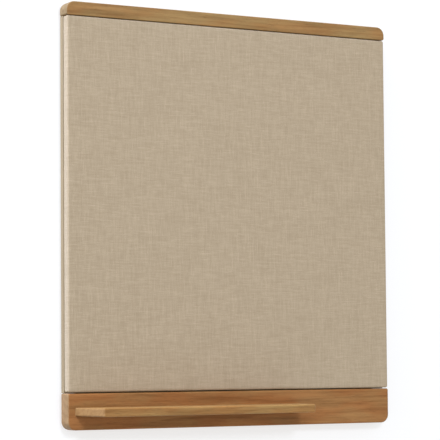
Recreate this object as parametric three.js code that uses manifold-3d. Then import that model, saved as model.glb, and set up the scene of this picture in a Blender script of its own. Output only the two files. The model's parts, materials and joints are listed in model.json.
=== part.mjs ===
// A memo board for the wall: a linen-covered tack panel between a wooden cap and a wooden rail.
// The rail carries a pencil ledge, and two strap hangers with wire rings are on the back.
// Millimetres, +Z up. The front faces -Y and the wall is the plane y = 0.
// The origin lies on the wall, midway between the two hanger rings and level with the hooks that carry them.
import * as THREE from "three";
import { mergeVertices } from "three/addons/utils/BufferGeometryUtils.js";
import Module from "manifold-3d";

const wasm = await Module();
wasm.setup();

// The whole board
const boardWidth = 540;
const boardHeight = 610;
const boardDepth = 24;
const fitGap = 0.3;

// Wooden cap and rail
const capHeight = 19;
const railHeight = 52;
const woodCornerRadius = 12.5;
const woodEase = 1.2;
const rabbetHeight = 10;
const rabbetEndStop = 20;

// Pencil ledge on the front of the rail, left of centre
const ledgeLength = 367;
const ledgeDepth = 70;
const ledgeThickness = 12;
const ledgeLeftMargin = 11;
const ledgeBottomHeight = 20;
const ledgeTaperRun = 12;

// Back panel, let into the rabbets of the cap and the rail
const backPanelThickness = 9;
const backPanelSideInset = 0.7;

// Linen-covered tack panel in front of it
const linenThickness = 0.9;
const linenEdgeRadius = 2.5;
const linenCornerRadius = 3;
const linenTurnover = 28;
const tackPanelSideInset = 0.7;
const shadowGap = 1.5;

// Countersunk wood screws
const screwShankRadius = 1.75;
const screwTipLength = 3;
const screwHeadRadius = 3.5;
const screwHeadDepth = 2.4;
const screwHeadRim = 0.4;
const railScrewLength = 17;
const railScrewCount = 4;
const railScrewEndMargin = 45;
const panelScrewLength = 18;
const panelScrewMargin = 120;
const panelScrewRows = 3;
const ledgeScrewLength = 40;
const ledgeScrewCount = 3;
const ledgeScrewEndMargin = 60;
const ledgeScrewCounterbore = 7;

// Pan-head screws of the hangers
const hangerScrewLength = 8;
const hangerScrewShankRadius = 1.5;
const hangerScrewHeadRadius = 3;
const hangerScrewHeadHeight = 1.7;
const hangerScrewRim = 0.8;
const hangerScrewCrownRadius = 2.2;

// Cross recess in every screw head
const recessSpan = 4.2;
const recessWidth = 0.9;
const recessDepth = 1.1;

// Two strap hangers, each with a D-shaped wire ring
const hangerSideMargin = 67;
const hangerTopMargin = 80;
const strapWidth = 13;
const strapSheet = 0.8;
const strapLength = 33;
const firstHangerScrewDrop = 9.5;
const hangerScrewPitch = 15.5;
const ringWireRadius = 1.1;
const ringRunningGap = 0.3;
const ringHalfWidth = 9.5;
const ringBendRadius = 2.5;
const ringReach = 16;

// Round bumpers on the back of the rail
const bumperRadius = 9.5;
const bumperThickness = 5;
const bumperChamfer = 1;
const bumperSideMargin = 25;
const bumperHeight = 21;

// Fineness of the round shapes
const arcSteps = 4;
const easeSteps = 2;
const roundSides = 12;
const bumperSides = 24;
const wireSides = 8;
const ringPoints = 38;
const weldDistance = 1e-4;
const cutOvershoot = 1;

// Planes from the wall forwards
const backPlane = -bumperThickness;
const frontPlane = backPlane - boardDepth;
const backPanelFront = backPlane - backPanelThickness;
const rabbetFloor = backPanelFront - fitGap;
const tackPanelBack = backPanelFront - fitGap;

// Heights from the lower edge of the board
const capUnderside = boardHeight - capHeight;
const tackPanelBottom = railHeight + shadowGap;
const tackPanelTop = capUnderside - shadowGap;
const tackPanelWidth = boardWidth - 2 * tackPanelSideInset;
const ringBarOut = ringWireRadius + ringRunningGap + strapSheet;
const hangerBarHeight = boardHeight - hangerTopMargin;
const hookHeight = hangerBarHeight + ringReach - ringWireRadius;

// Finishes
const capWood = { color: 0x9f7b52, roughness: 0.5, metalness: 0 };
const railWood = { color: 0x926443, roughness: 0.5, metalness: 0 };
const ledgeWood = { color: 0xa07b4f, roughness: 0.5, metalness: 0 };
const fibreboard = { color: 0x7c6f4f, roughness: 0.8, metalness: 0 };
const softboard = { color: 0x9a8f7c, roughness: 0.95, metalness: 0 };
const linen = { color: 0xb8aa94, roughness: 0.9, metalness: 0 };
const zincSteel = { color: 0xa9abac, roughness: 0.35, metalness: 1 };
const brassSteel = { color: 0xb39a62, roughness: 0.4, metalness: 1 };
const bumperRubber = { color: 0x2c2b2a, roughness: 0.8, metalness: 0 };

// Solids and meshes

function solidFrom(geometry) {
  const bare = geometry.clone();
  bare.deleteAttribute("normal");
  bare.deleteAttribute("uv");
  const merged = mergeVertices(bare, weldDistance);
  const mesh = new wasm.Mesh({
    numProp: 3,
    vertProperties: merged.attributes.position.array,
    triVerts: new Uint32Array(merged.index.array),
  });
  return new wasm.Manifold(mesh);
}

function geometryFrom(solid) {
  const mesh = solid.getMesh();
  const indexed = new THREE.BufferGeometry();
  indexed.setAttribute("position", new THREE.BufferAttribute(mesh.vertProperties, 3));
  indexed.setIndex(new THREE.BufferAttribute(mesh.triVerts, 1));
  const faceted = indexed.toNonIndexed();
  faceted.computeVertexNormals();
  return faceted;
}

function cut(geometry, tools) {
  let solid = solidFrom(geometry);
  for (const tool of tools) {
    solid = solid.subtract(solidFrom(tool));
  }
  return geometryFrom(solid);
}

function common(geometry, other) {
  return geometryFrom(solidFrom(geometry).intersect(solidFrom(other)));
}

function named(name, geometry, finish) {
  const mesh = new THREE.Mesh(geometry, new THREE.MeshStandardMaterial(finish));
  mesh.name = name;
  return mesh;
}

// A block between two corners.
function block(low, high) {
  const size = high.map((value, i) => value - low[i]);
  const middle = high.map((value, i) => (value + low[i]) / 2);
  return new THREE.BoxGeometry(...size).translate(...middle);
}

function extruded(outline, thickness, ease) {
  const geometry = new THREE.ExtrudeGeometry(outline, {
    depth: thickness - 2 * ease,
    bevelEnabled: ease > 0,
    bevelThickness: ease,
    bevelSize: ease,
    bevelOffset: -ease,
    bevelSegments: easeSteps,
    curveSegments: arcSteps,
  });
  return geometry.translate(0, 0, ease);
}

// An outline of the front view, x across and y up the board, given its thickness from front to back.
function slab(outline, front, back, ease = 0) {
  return extruded(outline, back - front, ease).rotateX(Math.PI / 2).translate(0, back, 0);
}

function roundedRectangle(left, bottom, right, top, radius) {
  const outline = new THREE.Shape();
  outline.absarc(right - radius, bottom + radius, radius, -Math.PI / 2, 0);
  outline.absarc(right - radius, top - radius, radius, 0, Math.PI / 2);
  outline.absarc(left + radius, top - radius, radius, Math.PI / 2, Math.PI);
  outline.absarc(left + radius, bottom + radius, radius, Math.PI, 1.5 * Math.PI);
  outline.closePath();
  return outline;
}

// Values spread evenly from first to last.
function spread(first, last, count) {
  return Array.from({ length: count }, (_, i) => first + ((last - first) * i) / (count - 1));
}

// Screws, modelled with the top of the head at y = 0 and the point towards -Y

function crossRecess() {
  const reach = recessSpan / 2;
  const half = recessWidth / 2;
  const outline = new THREE.Shape();
  const corner = [[reach, -half], [reach, half], [half, half]];
  for (let quarter = 0; quarter < 4; quarter++) {
    const turn = (quarter * Math.PI) / 2;
    for (const [x, y] of corner) {
      const point = new THREE.Vector2(x, y).rotateAround(new THREE.Vector2(), turn);
      outline.lineTo(point.x, point.y);
    }
  }
  outline.closePath();
  return slab(outline, -recessDepth, cutOvershoot);
}

function turned(profile, sides) {
  return new THREE.LatheGeometry(profile.map(([radius, y]) => new THREE.Vector2(radius, y)), sides);
}

function woodScrew(length) {
  const body = turned(
    [
      [0, -length],
      [screwShankRadius, screwTipLength - length],
      [screwShankRadius, -screwHeadDepth],
      [screwHeadRadius, -screwHeadRim],
      [screwHeadRadius, 0],
      [0, 0],
    ],
    roundSides,
  );
  return cut(body, [crossRecess()]);
}

// The hole for a wood screw, carried on above its head by the given height.
function woodScrewHole(length, above) {
  return turned(
    [
      [0, -length - fitGap],
      [screwShankRadius + fitGap, screwTipLength - length],
      [screwShankRadius + fitGap, -screwHeadDepth],
      [screwHeadRadius + fitGap, -screwHeadRim],
      [screwHeadRadius + fitGap, above],
      [0, above],
    ],
    roundSides,
  );
}

function hangerScrew() {
  const length = hangerScrewLength + hangerScrewHeadHeight;
  const body = turned(
    [
      [0, -length],
      [hangerScrewShankRadius, screwTipLength - length],
      [hangerScrewShankRadius, -hangerScrewHeadHeight],
      [hangerScrewHeadRadius, -hangerScrewHeadHeight],
      [hangerScrewHeadRadius, hangerScrewRim - hangerScrewHeadHeight],
      [hangerScrewCrownRadius, 0],
      [0, 0],
    ],
    roundSides,
  );
  return cut(body, [crossRecess()]);
}

function hangerScrewHole() {
  const length = hangerScrewLength + hangerScrewHeadHeight;
  return turned(
    [
      [0, -length - fitGap],
      [hangerScrewShankRadius + fitGap, screwTipLength - length],
      [hangerScrewShankRadius + fitGap, cutOvershoot],
      [0, cutOvershoot],
    ],
    roundSides,
  );
}

// Where each fastener's head lies, and which hole it needs

const railScrewSpan = boardWidth / 2 - railScrewEndMargin;
const railScrewXs = spread(-railScrewSpan, railScrewSpan, railScrewCount);
const capScrewPlaces = railScrewXs.map((x) => [x, backPlane, capUnderside + rabbetHeight / 2]);
const railScrewPlaces = railScrewXs.map((x) => [x, backPlane, railHeight - rabbetHeight / 2]);

const panelScrewX = tackPanelWidth / 2 - panelScrewMargin;
const panelScrewRowsAt = spread(
  tackPanelBottom + panelScrewMargin,
  tackPanelTop - panelScrewMargin,
  panelScrewRows,
);
const panelScrewPlaces = panelScrewRowsAt.flatMap((z) => [
  [-panelScrewX, backPlane, z],
  [panelScrewX, backPlane, z],
]);

const ledgeLeft = -boardWidth / 2 + ledgeLeftMargin;
const ledgeRight = ledgeLeft + ledgeLength;
const ledgeScrewPlaces = spread(
  ledgeLeft + ledgeScrewEndMargin,
  ledgeRight - ledgeScrewEndMargin,
  ledgeScrewCount,
).map((x) => [x, backPlane - ledgeScrewCounterbore, ledgeBottomHeight + ledgeThickness / 2]);

const strapThickness = 2 * strapSheet;
const hangerX = boardWidth / 2 - hangerSideMargin;
const hangerSides = { left: -hangerX, right: hangerX };
const hangerScrewDrops = [firstHangerScrewDrop, firstHangerScrewDrop + hangerScrewPitch];
const hangerScrewHeadPlane = backPlane + strapThickness + fitGap + hangerScrewHeadHeight;

function hangerScrewPlaces(x) {
  return hangerScrewDrops.map((drop) => [x, hangerScrewHeadPlane, hangerBarHeight - drop]);
}

function holesAt(places, hole) {
  return places.map((place) => hole.clone().translate(...place));
}

const capScrewHoles = holesAt(capScrewPlaces, woodScrewHole(railScrewLength, cutOvershoot));
const railScrewHoles = holesAt(railScrewPlaces, woodScrewHole(railScrewLength, cutOvershoot));
const panelScrewHoles = holesAt(panelScrewPlaces, woodScrewHole(panelScrewLength, cutOvershoot));
const ledgeScrewHoles = holesAt(
  ledgeScrewPlaces,
  woodScrewHole(ledgeScrewLength, ledgeScrewCounterbore + cutOvershoot),
);

// Wooden cap, with its two upper corners rounded and a stopped rabbet behind its lower edge
function topRail() {
  const half = boardWidth / 2;
  const turn = half - woodCornerRadius;
  const outline = new THREE.Shape();
  outline.moveTo(-half, capUnderside);
  outline.lineTo(half, capUnderside);
  outline.absarc(turn, boardHeight - woodCornerRadius, woodCornerRadius, 0, Math.PI / 2);
  outline.absarc(-turn, boardHeight - woodCornerRadius, woodCornerRadius, Math.PI / 2, Math.PI);
  outline.closePath();
  const rabbet = block(
    [rabbetEndStop - half, rabbetFloor, capUnderside - cutOvershoot],
    [half - rabbetEndStop, backPlane + cutOvershoot, capUnderside + rabbetHeight],
  );
  return cut(slab(outline, frontPlane, backPlane, woodEase), [rabbet, ...capScrewHoles]);
}

// Wooden rail, with its two lower corners rounded and a stopped rabbet behind its upper edge
function bottomRail() {
  const half = boardWidth / 2;
  const turn = half - woodCornerRadius;
  const outline = new THREE.Shape();
  outline.moveTo(half, railHeight);
  outline.lineTo(-half, railHeight);
  outline.absarc(-turn, woodCornerRadius, woodCornerRadius, Math.PI, 1.5 * Math.PI);
  outline.absarc(turn, woodCornerRadius, woodCornerRadius, 1.5 * Math.PI, 2 * Math.PI);
  outline.closePath();
  const rabbet = block(
    [rabbetEndStop - half, rabbetFloor, railHeight - rabbetHeight],
    [half - rabbetEndStop, backPlane + cutOvershoot, railHeight + cutOvershoot],
  );
  const tools = [rabbet, ...railScrewHoles, ...ledgeScrewHoles];
  return cut(slab(outline, frontPlane, backPlane, woodEase), tools);
}

// Pencil ledge: a shelf with tapered ends, eased all round and then planed square where it meets the rail
function pencilLedge() {
  const ledgeFront = frontPlane - ledgeDepth;
  const behind = frontPlane + 2 * woodEase;
  const outline = new THREE.Shape();
  outline.moveTo(ledgeLeft, behind);
  outline.lineTo(ledgeLeft, frontPlane);
  outline.lineTo(ledgeLeft + ledgeTaperRun, ledgeFront);
  outline.lineTo(ledgeRight - ledgeTaperRun, ledgeFront);
  outline.lineTo(ledgeRight, frontPlane);
  outline.lineTo(ledgeRight, behind);
  outline.closePath();
  const strip = extruded(outline, ledgeThickness, woodEase).translate(0, 0, ledgeBottomHeight);
  const planed = block(
    [ledgeLeft - cutOvershoot, frontPlane, ledgeBottomHeight - cutOvershoot],
    [ledgeRight + cutOvershoot, behind + cutOvershoot, ledgeBottomHeight + ledgeThickness + cutOvershoot],
  );
  return cut(strip, [planed, ...ledgeScrewHoles]);
}

// Back panel: as wide as the board between cap and rail, with a narrower tongue in each rabbet
function backPanel() {
  const half = boardWidth / 2 - backPanelSideInset;
  const tongue = boardWidth / 2 - rabbetEndStop - fitGap;
  const top = capUnderside - fitGap;
  const bottom = railHeight + fitGap;
  const tongueTop = capUnderside + rabbetHeight - fitGap;
  const tongueBottom = railHeight - rabbetHeight + fitGap;
  const outline = new THREE.Shape();
  outline.moveTo(-tongue, tongueBottom);
  outline.lineTo(tongue, tongueBottom);
  outline.lineTo(tongue, bottom);
  outline.lineTo(half, bottom);
  outline.lineTo(half, top);
  outline.lineTo(tongue, top);
  outline.lineTo(tongue, tongueTop);
  outline.lineTo(-tongue, tongueTop);
  outline.lineTo(-tongue, top);
  outline.lineTo(-half, top);
  outline.lineTo(-half, bottom);
  outline.lineTo(-tongue, bottom);
  outline.closePath();
  const hangerHoles = Object.values(hangerSides).flatMap((x) =>
    holesAt(hangerScrewPlaces(x), hangerScrewHole()),
  );
  const holes = [...capScrewHoles, ...railScrewHoles, ...panelScrewHoles, ...hangerHoles];
  return cut(slab(outline, backPanelFront, backPlane), holes);
}

// The tack panel's form, drawn in from its outer faces by a margin
function tackPanelForm(margin) {
  const half = tackPanelWidth / 2 - margin;
  const outline = roundedRectangle(
    -half,
    tackPanelBottom + margin,
    half,
    tackPanelTop - margin,
    linenCornerRadius - margin,
  );
  return slab(outline, frontPlane + margin, tackPanelBack - margin, linenEdgeRadius - margin);
}

// Linen, stretched over the front and the sides and turned over onto the back
function linenCover() {
  const half = tackPanelWidth / 2 - linenTurnover;
  const opening = block(
    [-half, tackPanelBack - linenThickness - cutOvershoot, tackPanelBottom + linenTurnover],
    [half, tackPanelBack + cutOvershoot, tackPanelTop - linenTurnover],
  );
  return cut(tackPanelForm(0), [tackPanelForm(linenThickness), opening]);
}

// Soft tackable board inside the linen
function tackCore() {
  return cut(tackPanelForm(linenThickness + fitGap), panelScrewHoles);
}

// Strap of sheet steel, folded double round the ring's straight bar; the bar lies on the x axis
function hangerStrap() {
  const outer = ringBarOut;
  const lower = -strapLength;
  const foldAngle = Math.acos((strapThickness - outer) / outer);
  const profile = new THREE.Shape();
  profile.moveTo(0, lower);
  profile.lineTo(strapThickness, lower);
  profile.absarc(outer, 0, outer, -foldAngle, Math.PI);
  profile.closePath();
  const eye = new THREE.Path();
  eye.absarc(outer, 0, ringWireRadius + ringRunningGap, 0, 2 * Math.PI);
  profile.holes.push(eye);
  // The profile is drawn with x out from the back panel and y up, and pushed across the board.
  const folded = new THREE.ExtrudeGeometry(profile, {
    depth: strapWidth,
    bevelEnabled: false,
    curveSegments: 2 * arcSteps,
  });
  folded.translate(-outer, 0, -strapWidth / 2);
  folded.rotateX(Math.PI / 2).rotateZ(Math.PI / 2);
  const half = strapWidth / 2;
  const front = new THREE.Shape();
  front.moveTo(half, outer + cutOvershoot);
  front.lineTo(-half, outer + cutOvershoot);
  front.absarc(0, lower + half, half, Math.PI, 2 * Math.PI);
  front.closePath();
  const trimmed = common(folded, slab(front, -outer - cutOvershoot, outer + cutOvershoot));
  const headPlane = hangerScrewHeadPlane - backPlane - outer;
  const holes = hangerScrewDrops.map((drop) => hangerScrewHole().translate(0, headPlane, -drop));
  return cut(trimmed, holes);
}

// A closed loop of round wire along a path in the front view
function wireLoop(path, radius) {
  const points = path.getSpacedPoints(ringPoints).slice(0, -1);
  const count = points.length;
  const positions = [];
  const faces = [];
  points.forEach((point, i) => {
    const before = points[(i + count - 1) % count];
    const after = points[(i + 1) % count];
    const along = new THREE.Vector2().subVectors(after, before).normalize();
    for (let side = 0; side < wireSides; side++) {
      const angle = (2 * Math.PI * side) / wireSides;
      const out = radius * Math.cos(angle);
      positions.push(point.x + along.y * out, radius * Math.sin(angle), point.y - along.x * out);
      const a = i * wireSides + side;
      const b = i * wireSides + ((side + 1) % wireSides);
      const c = ((i + 1) % count) * wireSides + side;
      const d = ((i + 1) % count) * wireSides + ((side + 1) % wireSides);
      faces.push(a, b, c, b, d, c);
    }
  });
  const geometry = new THREE.BufferGeometry();
  geometry.setAttribute("position", new THREE.Float32BufferAttribute(positions, 3));
  geometry.setIndex(faces);
  geometry.computeVertexNormals();
  return geometry;
}

// D-shaped ring: its straight bar lies on the x axis and its bow rises along z
function hangerRing() {
  const straight = ringHalfWidth - ringBendRadius;
  const bowCentre = ringReach - ringHalfWidth;
  const path = new THREE.Path();
  path.moveTo(-straight, 0);
  path.lineTo(straight, 0);
  path.absarc(straight, ringBendRadius, ringBendRadius, -Math.PI / 2, 0);
  path.absarc(0, bowCentre, ringHalfWidth, 0, Math.PI);
  path.absarc(-straight, ringBendRadius, ringBendRadius, Math.PI, 1.5 * Math.PI);
  return wireLoop(path, ringWireRadius);
}

// Round rubber bumper, seated on the back of the rail and reaching the wall
function wallBumper() {
  return turned(
    [
      [0, backPlane],
      [bumperRadius, backPlane],
      [bumperRadius, -bumperChamfer],
      [bumperRadius - bumperChamfer, 0],
      [0, 0],
    ],
    bumperSides,
  );
}

// The board, measured from its lower edge

const board = new THREE.Group();
board.position.z = -hookHeight;
board.add(named("top_rail", topRail(), capWood));
board.add(named("bottom_rail", bottomRail(), railWood));
board.add(named("pencil_ledge", pencilLedge(), ledgeWood));
board.add(named("back_panel", backPanel(), fibreboard));
board.add(named("tack_core", tackCore(), softboard));
board.add(named("linen_cover", linenCover(), linen));

function addScrews(prefix, places, geometry, finish) {
  places.forEach((place, i) => {
    const screw = named(`${prefix}_${i + 1}`, geometry, finish);
    screw.position.set(...place);
    board.add(screw);
  });
}

addScrews("top_rail_screw", capScrewPlaces, woodScrew(railScrewLength), brassSteel);
addScrews("bottom_rail_screw", railScrewPlaces, woodScrew(railScrewLength), brassSteel);
addScrews("panel_screw", panelScrewPlaces, woodScrew(panelScrewLength), brassSteel);
addScrews("ledge_screw", ledgeScrewPlaces, woodScrew(ledgeScrewLength), brassSteel);

// A ring at rest stands up and leans on the back panel.
const ringLean = Math.asin((ringBarOut - ringWireRadius - fitGap) / ringReach);

for (const [side, x] of Object.entries(hangerSides)) {
  const bar = new THREE.Group();
  bar.position.set(x, backPlane + ringBarOut, hangerBarHeight);
  const strap = named(`hanger_strap_${side}`, hangerStrap(), zincSteel);
  const ring = named(`hanger_ring_${side}`, hangerRing(), zincSteel);
  ring.rotation.x = ringLean;
  bar.add(strap, ring);
  board.add(bar);
  addScrews(`hanger_screw_${side}`, hangerScrewPlaces(x), hangerScrew(), zincSteel);
}

for (const [side, sign] of Object.entries({ left: -1, right: 1 })) {
  const bumper = named(`wall_bumper_${side}`, wallBumper(), bumperRubber);
  bumper.position.set(sign * (boardWidth / 2 - bumperSideMargin), 0, bumperHeight);
  board.add(bumper);
}

const memoBoard = new THREE.Group();
memoBoard.add(board);

export default memoBoard;
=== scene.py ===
# %% [markdown]
# The object is a memo board. A pin panel wrapped in linen sits between a thin wooden cap and a taller
# wooden rail, and the rail carries a ledge for pencils. Behind it, two wire rings hang the board on
# hooks. Its solids are plain and exact. They could be rendered as they come, but no edge of a real
# board is that sharp and no cloth that smooth. So this lesson dresses them: every piece that shows
# gets a finer mesh in the place of its solid, and a finish made of nodes. Lengths are metres, x runs
# to the right, y into the wall and z up.

import json
import math

import bmesh
import bpy
from mathutils import Matrix, Vector, noise


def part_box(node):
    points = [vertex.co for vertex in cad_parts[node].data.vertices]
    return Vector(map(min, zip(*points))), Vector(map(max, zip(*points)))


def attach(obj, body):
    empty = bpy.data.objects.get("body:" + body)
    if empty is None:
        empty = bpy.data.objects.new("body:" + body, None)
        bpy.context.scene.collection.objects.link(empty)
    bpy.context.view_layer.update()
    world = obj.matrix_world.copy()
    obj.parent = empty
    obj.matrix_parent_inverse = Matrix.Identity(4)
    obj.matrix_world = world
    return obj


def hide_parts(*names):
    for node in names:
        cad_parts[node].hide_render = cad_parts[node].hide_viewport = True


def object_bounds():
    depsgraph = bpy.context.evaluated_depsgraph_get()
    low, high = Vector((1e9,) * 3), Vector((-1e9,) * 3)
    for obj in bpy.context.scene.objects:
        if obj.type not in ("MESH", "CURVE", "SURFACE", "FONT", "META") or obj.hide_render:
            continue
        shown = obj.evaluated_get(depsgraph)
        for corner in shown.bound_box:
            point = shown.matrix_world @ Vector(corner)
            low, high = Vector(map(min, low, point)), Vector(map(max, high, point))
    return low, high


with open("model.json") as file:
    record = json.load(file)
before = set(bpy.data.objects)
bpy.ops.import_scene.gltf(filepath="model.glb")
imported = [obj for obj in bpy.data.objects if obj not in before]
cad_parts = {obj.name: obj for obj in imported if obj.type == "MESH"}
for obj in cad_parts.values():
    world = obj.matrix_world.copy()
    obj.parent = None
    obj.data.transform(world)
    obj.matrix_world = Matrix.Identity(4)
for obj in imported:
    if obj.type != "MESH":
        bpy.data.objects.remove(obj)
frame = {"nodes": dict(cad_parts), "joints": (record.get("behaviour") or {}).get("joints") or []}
cad_low, cad_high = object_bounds()
MM = 0.001
scene = bpy.context.scene
scene.view_settings.view_transform = "Standard"
print("solids:", len(frame["nodes"]), "box in mm:", [round(side / MM, 1) for side in cad_high - cad_low])

# %% [markdown]
# The solids lie where the real pieces lie, so their boxes give nearly every measure that the meshes
# need. The sizes could be typed in once more, but then the two models would drift apart. Read from
# the boxes, the dress grows with the board.

# %% Read the places of the solids
cap_low, cap_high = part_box("top_rail")
rail_low, rail_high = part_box("bottom_rail")
ledge_low, ledge_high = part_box("pencil_ledge")
panel_low, panel_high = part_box("back_panel")
linen_low, linen_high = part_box("linen_cover")
wood_front, wood_back = rail_low.y, rail_high.y
half_width = rail_high.x
print("wood in mm: front at", round(wood_front / MM, 1), "half width", round(half_width / MM, 1))

# %% [markdown]
# The board is seen from its left and from about the height of the ledge, through a long lens. A
# camera could be pushed about by hand until it looks right. Here the lens, the place and the angles
# were worked out from the board's four long edges, so that shapes can be compared to the pixel. The
# picture's axis lies a little below its middle row, and the lens is shifted by just that much.

# %% Make the camera
PICTURE_SIDE = 440
FOCAL_PIXELS = 2019
AXIS_ROW = 240
SENSOR_WIDTH = 36
CAMERA_PLACE = (-1.4630, -2.6221, -0.4454)
CAMERA_YAW = math.radians(-29.035)
CAMERA_PITCH = math.radians(3.363)
CAMERA_ROLL = math.radians(-0.445)

lens = bpy.data.cameras.new("camera")
lens.sensor_width = SENSOR_WIDTH
lens.lens = SENSOR_WIDTH * FOCAL_PIXELS / PICTURE_SIDE
lens.shift_y = (AXIS_ROW - PICTURE_SIDE / 2) / PICTURE_SIDE
camera = bpy.data.objects.new("camera", lens)
camera.matrix_world = (
    Matrix.Translation(CAMERA_PLACE)
    @ Matrix.Rotation(CAMERA_YAW, 4, "Z")
    @ Matrix.Rotation(math.pi / 2 + CAMERA_PITCH, 4, "X")
    @ Matrix.Rotation(CAMERA_ROLL, 4, "Z")
)
scene.collection.objects.link(camera)
scene.camera = camera
print("lens", round(lens.lens, 1), "mm, shift", round(lens.shift_y, 3))

# %% [markdown]
# A finish is a graph of nodes. In Blender's editor a graph is drawn by hand, and in a script it gets
# long. Each of these helpers adds one node and hands back the socket with its result, so that a
# finish reads like a formula. Colours are written as red, green and blue, and the fourth value that
# Blender wants is added here.

# %% Define the node helpers
def add_node(tree, kind, sockets=None, **options):
    """A new node: first its options are set, then its sockets are linked or given plain values."""
    node = tree.nodes.new(kind)
    for option, value in options.items():
        setattr(node, option, value)
    for key, value in (sockets or {}).items():
        socket = node.inputs[key]
        if isinstance(value, bpy.types.NodeSocket):
            tree.links.new(value, socket)
        elif socket.type == "RGBA":
            socket.default_value = (*value, 1)
        else:
            socket.default_value = value
    return node


def maths(tree, operation, first, second=0.0, third=0.0):
    node = add_node(tree, "ShaderNodeMath", {0: first, 1: second, 2: third}, operation=operation)
    return node.outputs[0]


def vector_maths(tree, operation, first, second=(0, 0, 0)):
    node = add_node(tree, "ShaderNodeVectorMath", {0: first, 1: second}, operation=operation)
    return node.outputs["Value"] if operation == "LENGTH" else node.outputs["Vector"]


def remap(tree, value, low, high, to_low=0.0, to_high=1.0):
    sockets = {"Value": value, "From Min": low, "From Max": high, "To Min": to_low, "To Max": to_high}
    return add_node(tree, "ShaderNodeMapRange", sockets, interpolation_type="SMOOTHSTEP").outputs["Result"]


def mix_values(tree, share, first, second):
    return add_node(tree, "ShaderNodeMix", {0: share, 2: first, 3: second}).outputs[0]


def mix_colours(tree, share, first, second, blend_type="MIX"):
    sockets = {0: share, 6: first, 7: second}
    return add_node(tree, "ShaderNodeMix", sockets, data_type="RGBA", blend_type=blend_type).outputs[2]


def cloud(tree, vector, scale, detail=2.0, roughness=0.5):
    sockets = {"Vector": vector, "Scale": scale, "Detail": detail, "Roughness": roughness}
    return add_node(tree, "ShaderNodeTexNoise", sockets).outputs["Fac"]


print("node helpers ready")

# %% [markdown]
# The three woods share one grain and the two metals one kind of wear. Such an effect could be drawn
# again in every material, but then a change would have to be made in each. So it becomes a node group
# with named sockets, built once and placed in each material with its own values. Most patterns read
# Object coordinates: they run through a piece as grain runs through wood, and need no unwrapping.

# %% Define the helpers for groups and materials
def new_group(name, inputs, outputs, kind="ShaderNodeTree"):
    """A node group with its sockets, and the two nodes that stand for its inputs and outputs."""
    tree = bpy.data.node_groups.new(name, kind)
    for label, socket in inputs.items():
        tree.interface.new_socket(label, in_out="INPUT", socket_type=socket)
    for label, socket in outputs.items():
        tree.interface.new_socket(label, in_out="OUTPUT", socket_type=socket)
    return tree, tree.nodes.new("NodeGroupInput"), tree.nodes.new("NodeGroupOutput")


def use_group(tree, group, sockets):
    return add_node(tree, "ShaderNodeGroup", sockets, node_tree=group).outputs


def new_material(name):
    """A material, its node tree and its Principled shader."""
    material = bpy.data.materials.new(name)
    material.use_nodes = True
    return material, material.node_tree, material.node_tree.nodes["Principled BSDF"]


def object_place(tree):
    return add_node(tree, "ShaderNodeTexCoord").outputs["Object"]


def in_millimetres(tree, position):
    return vector_maths(tree, "MULTIPLY", position, (1 / MM,) * 3)


def bump(tree, shader, height, depth):
    normal = add_node(tree, "ShaderNodeBump", {"Height": height, "Distance": depth}).outputs["Normal"]
    tree.links.new(normal, shader.inputs["Normal"])


print("group and material helpers ready")

# %% [markdown]
# Two lamps shape the light. A small softbox in front, a little left and above, throws the ledge's
# shadow onto the rail. A very wide one lies in the plane of the board, far to the left and above: it
# brightens the faces that look left or up, and only grazes the front. Sun lamps would be simpler, but
# softboxes can be given the width that a shadow's edge asks for. A lamp's level says how much light
# comes from the left, the front and above, and a level of 1 would turn white paper that faces the
# lamp just white.

# %% Set up the softboxes
FRONT_LEVEL = (0.048, 0.277, 0.072)
FRONT_WIDTH = 0.4
FRONT_DISTANCE = 2.6
FRONT_COLOUR = (1.0, 1.0, 1.04)
SIDE_LEVEL = (1.06, 0.0, 1.20)
SIDE_WIDTH = 4.0
SIDE_DISTANCE = 6.0
SIDE_COLOUR = (0.94, 1.0, 1.16)
board_middle = (cad_low + cad_high) / 2


def softbox(name, level, width, distance, colour):
    from_left, from_front, from_above = level
    towards = Vector((-from_left, -from_front, from_above))
    data = bpy.data.lights.new(name, "AREA")
    data.shape = "DISK"
    data.size = width
    data.color = colour
    data.energy = towards.length * math.pi**2 * distance**2
    lamp = bpy.data.objects.new(name, data)
    lamp.location = board_middle + towards.normalized() * distance
    lamp.rotation_euler = towards.to_track_quat("Z", "Y").to_euler()
    scene.collection.objects.link(lamp)
    print(name, "of", round(data.energy, 1), "W at", [round(place, 2) for place in lamp.location])


softbox("front softbox", FRONT_LEVEL, FRONT_WIDTH, FRONT_DISTANCE, FRONT_COLOUR)
softbox("side softbox", SIDE_LEVEL, SIDE_WIDTH, SIDE_DISTANCE, SIDE_COLOUR)

# %% [markdown]
# The rest of the light comes from all around, and it is a little warm from below, since light that
# bounces up off a floor often is. The background should be plain white all the same, and so should
# what bright metal mirrors. A brighter world would do that too, but it would wash out the board. The
# Light Path node keeps the two apart: rays that look at the background find white, and all other rays
# find the softer light.

# %% Light the surroundings
AMBIENT_LEVEL = 0.75
WHITE = (1, 1, 1)
WARM_BELOW = (1.0, 0.93, 0.80)
WARM_UP_TO, WHITE_FROM = -0.5, 0.1

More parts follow.
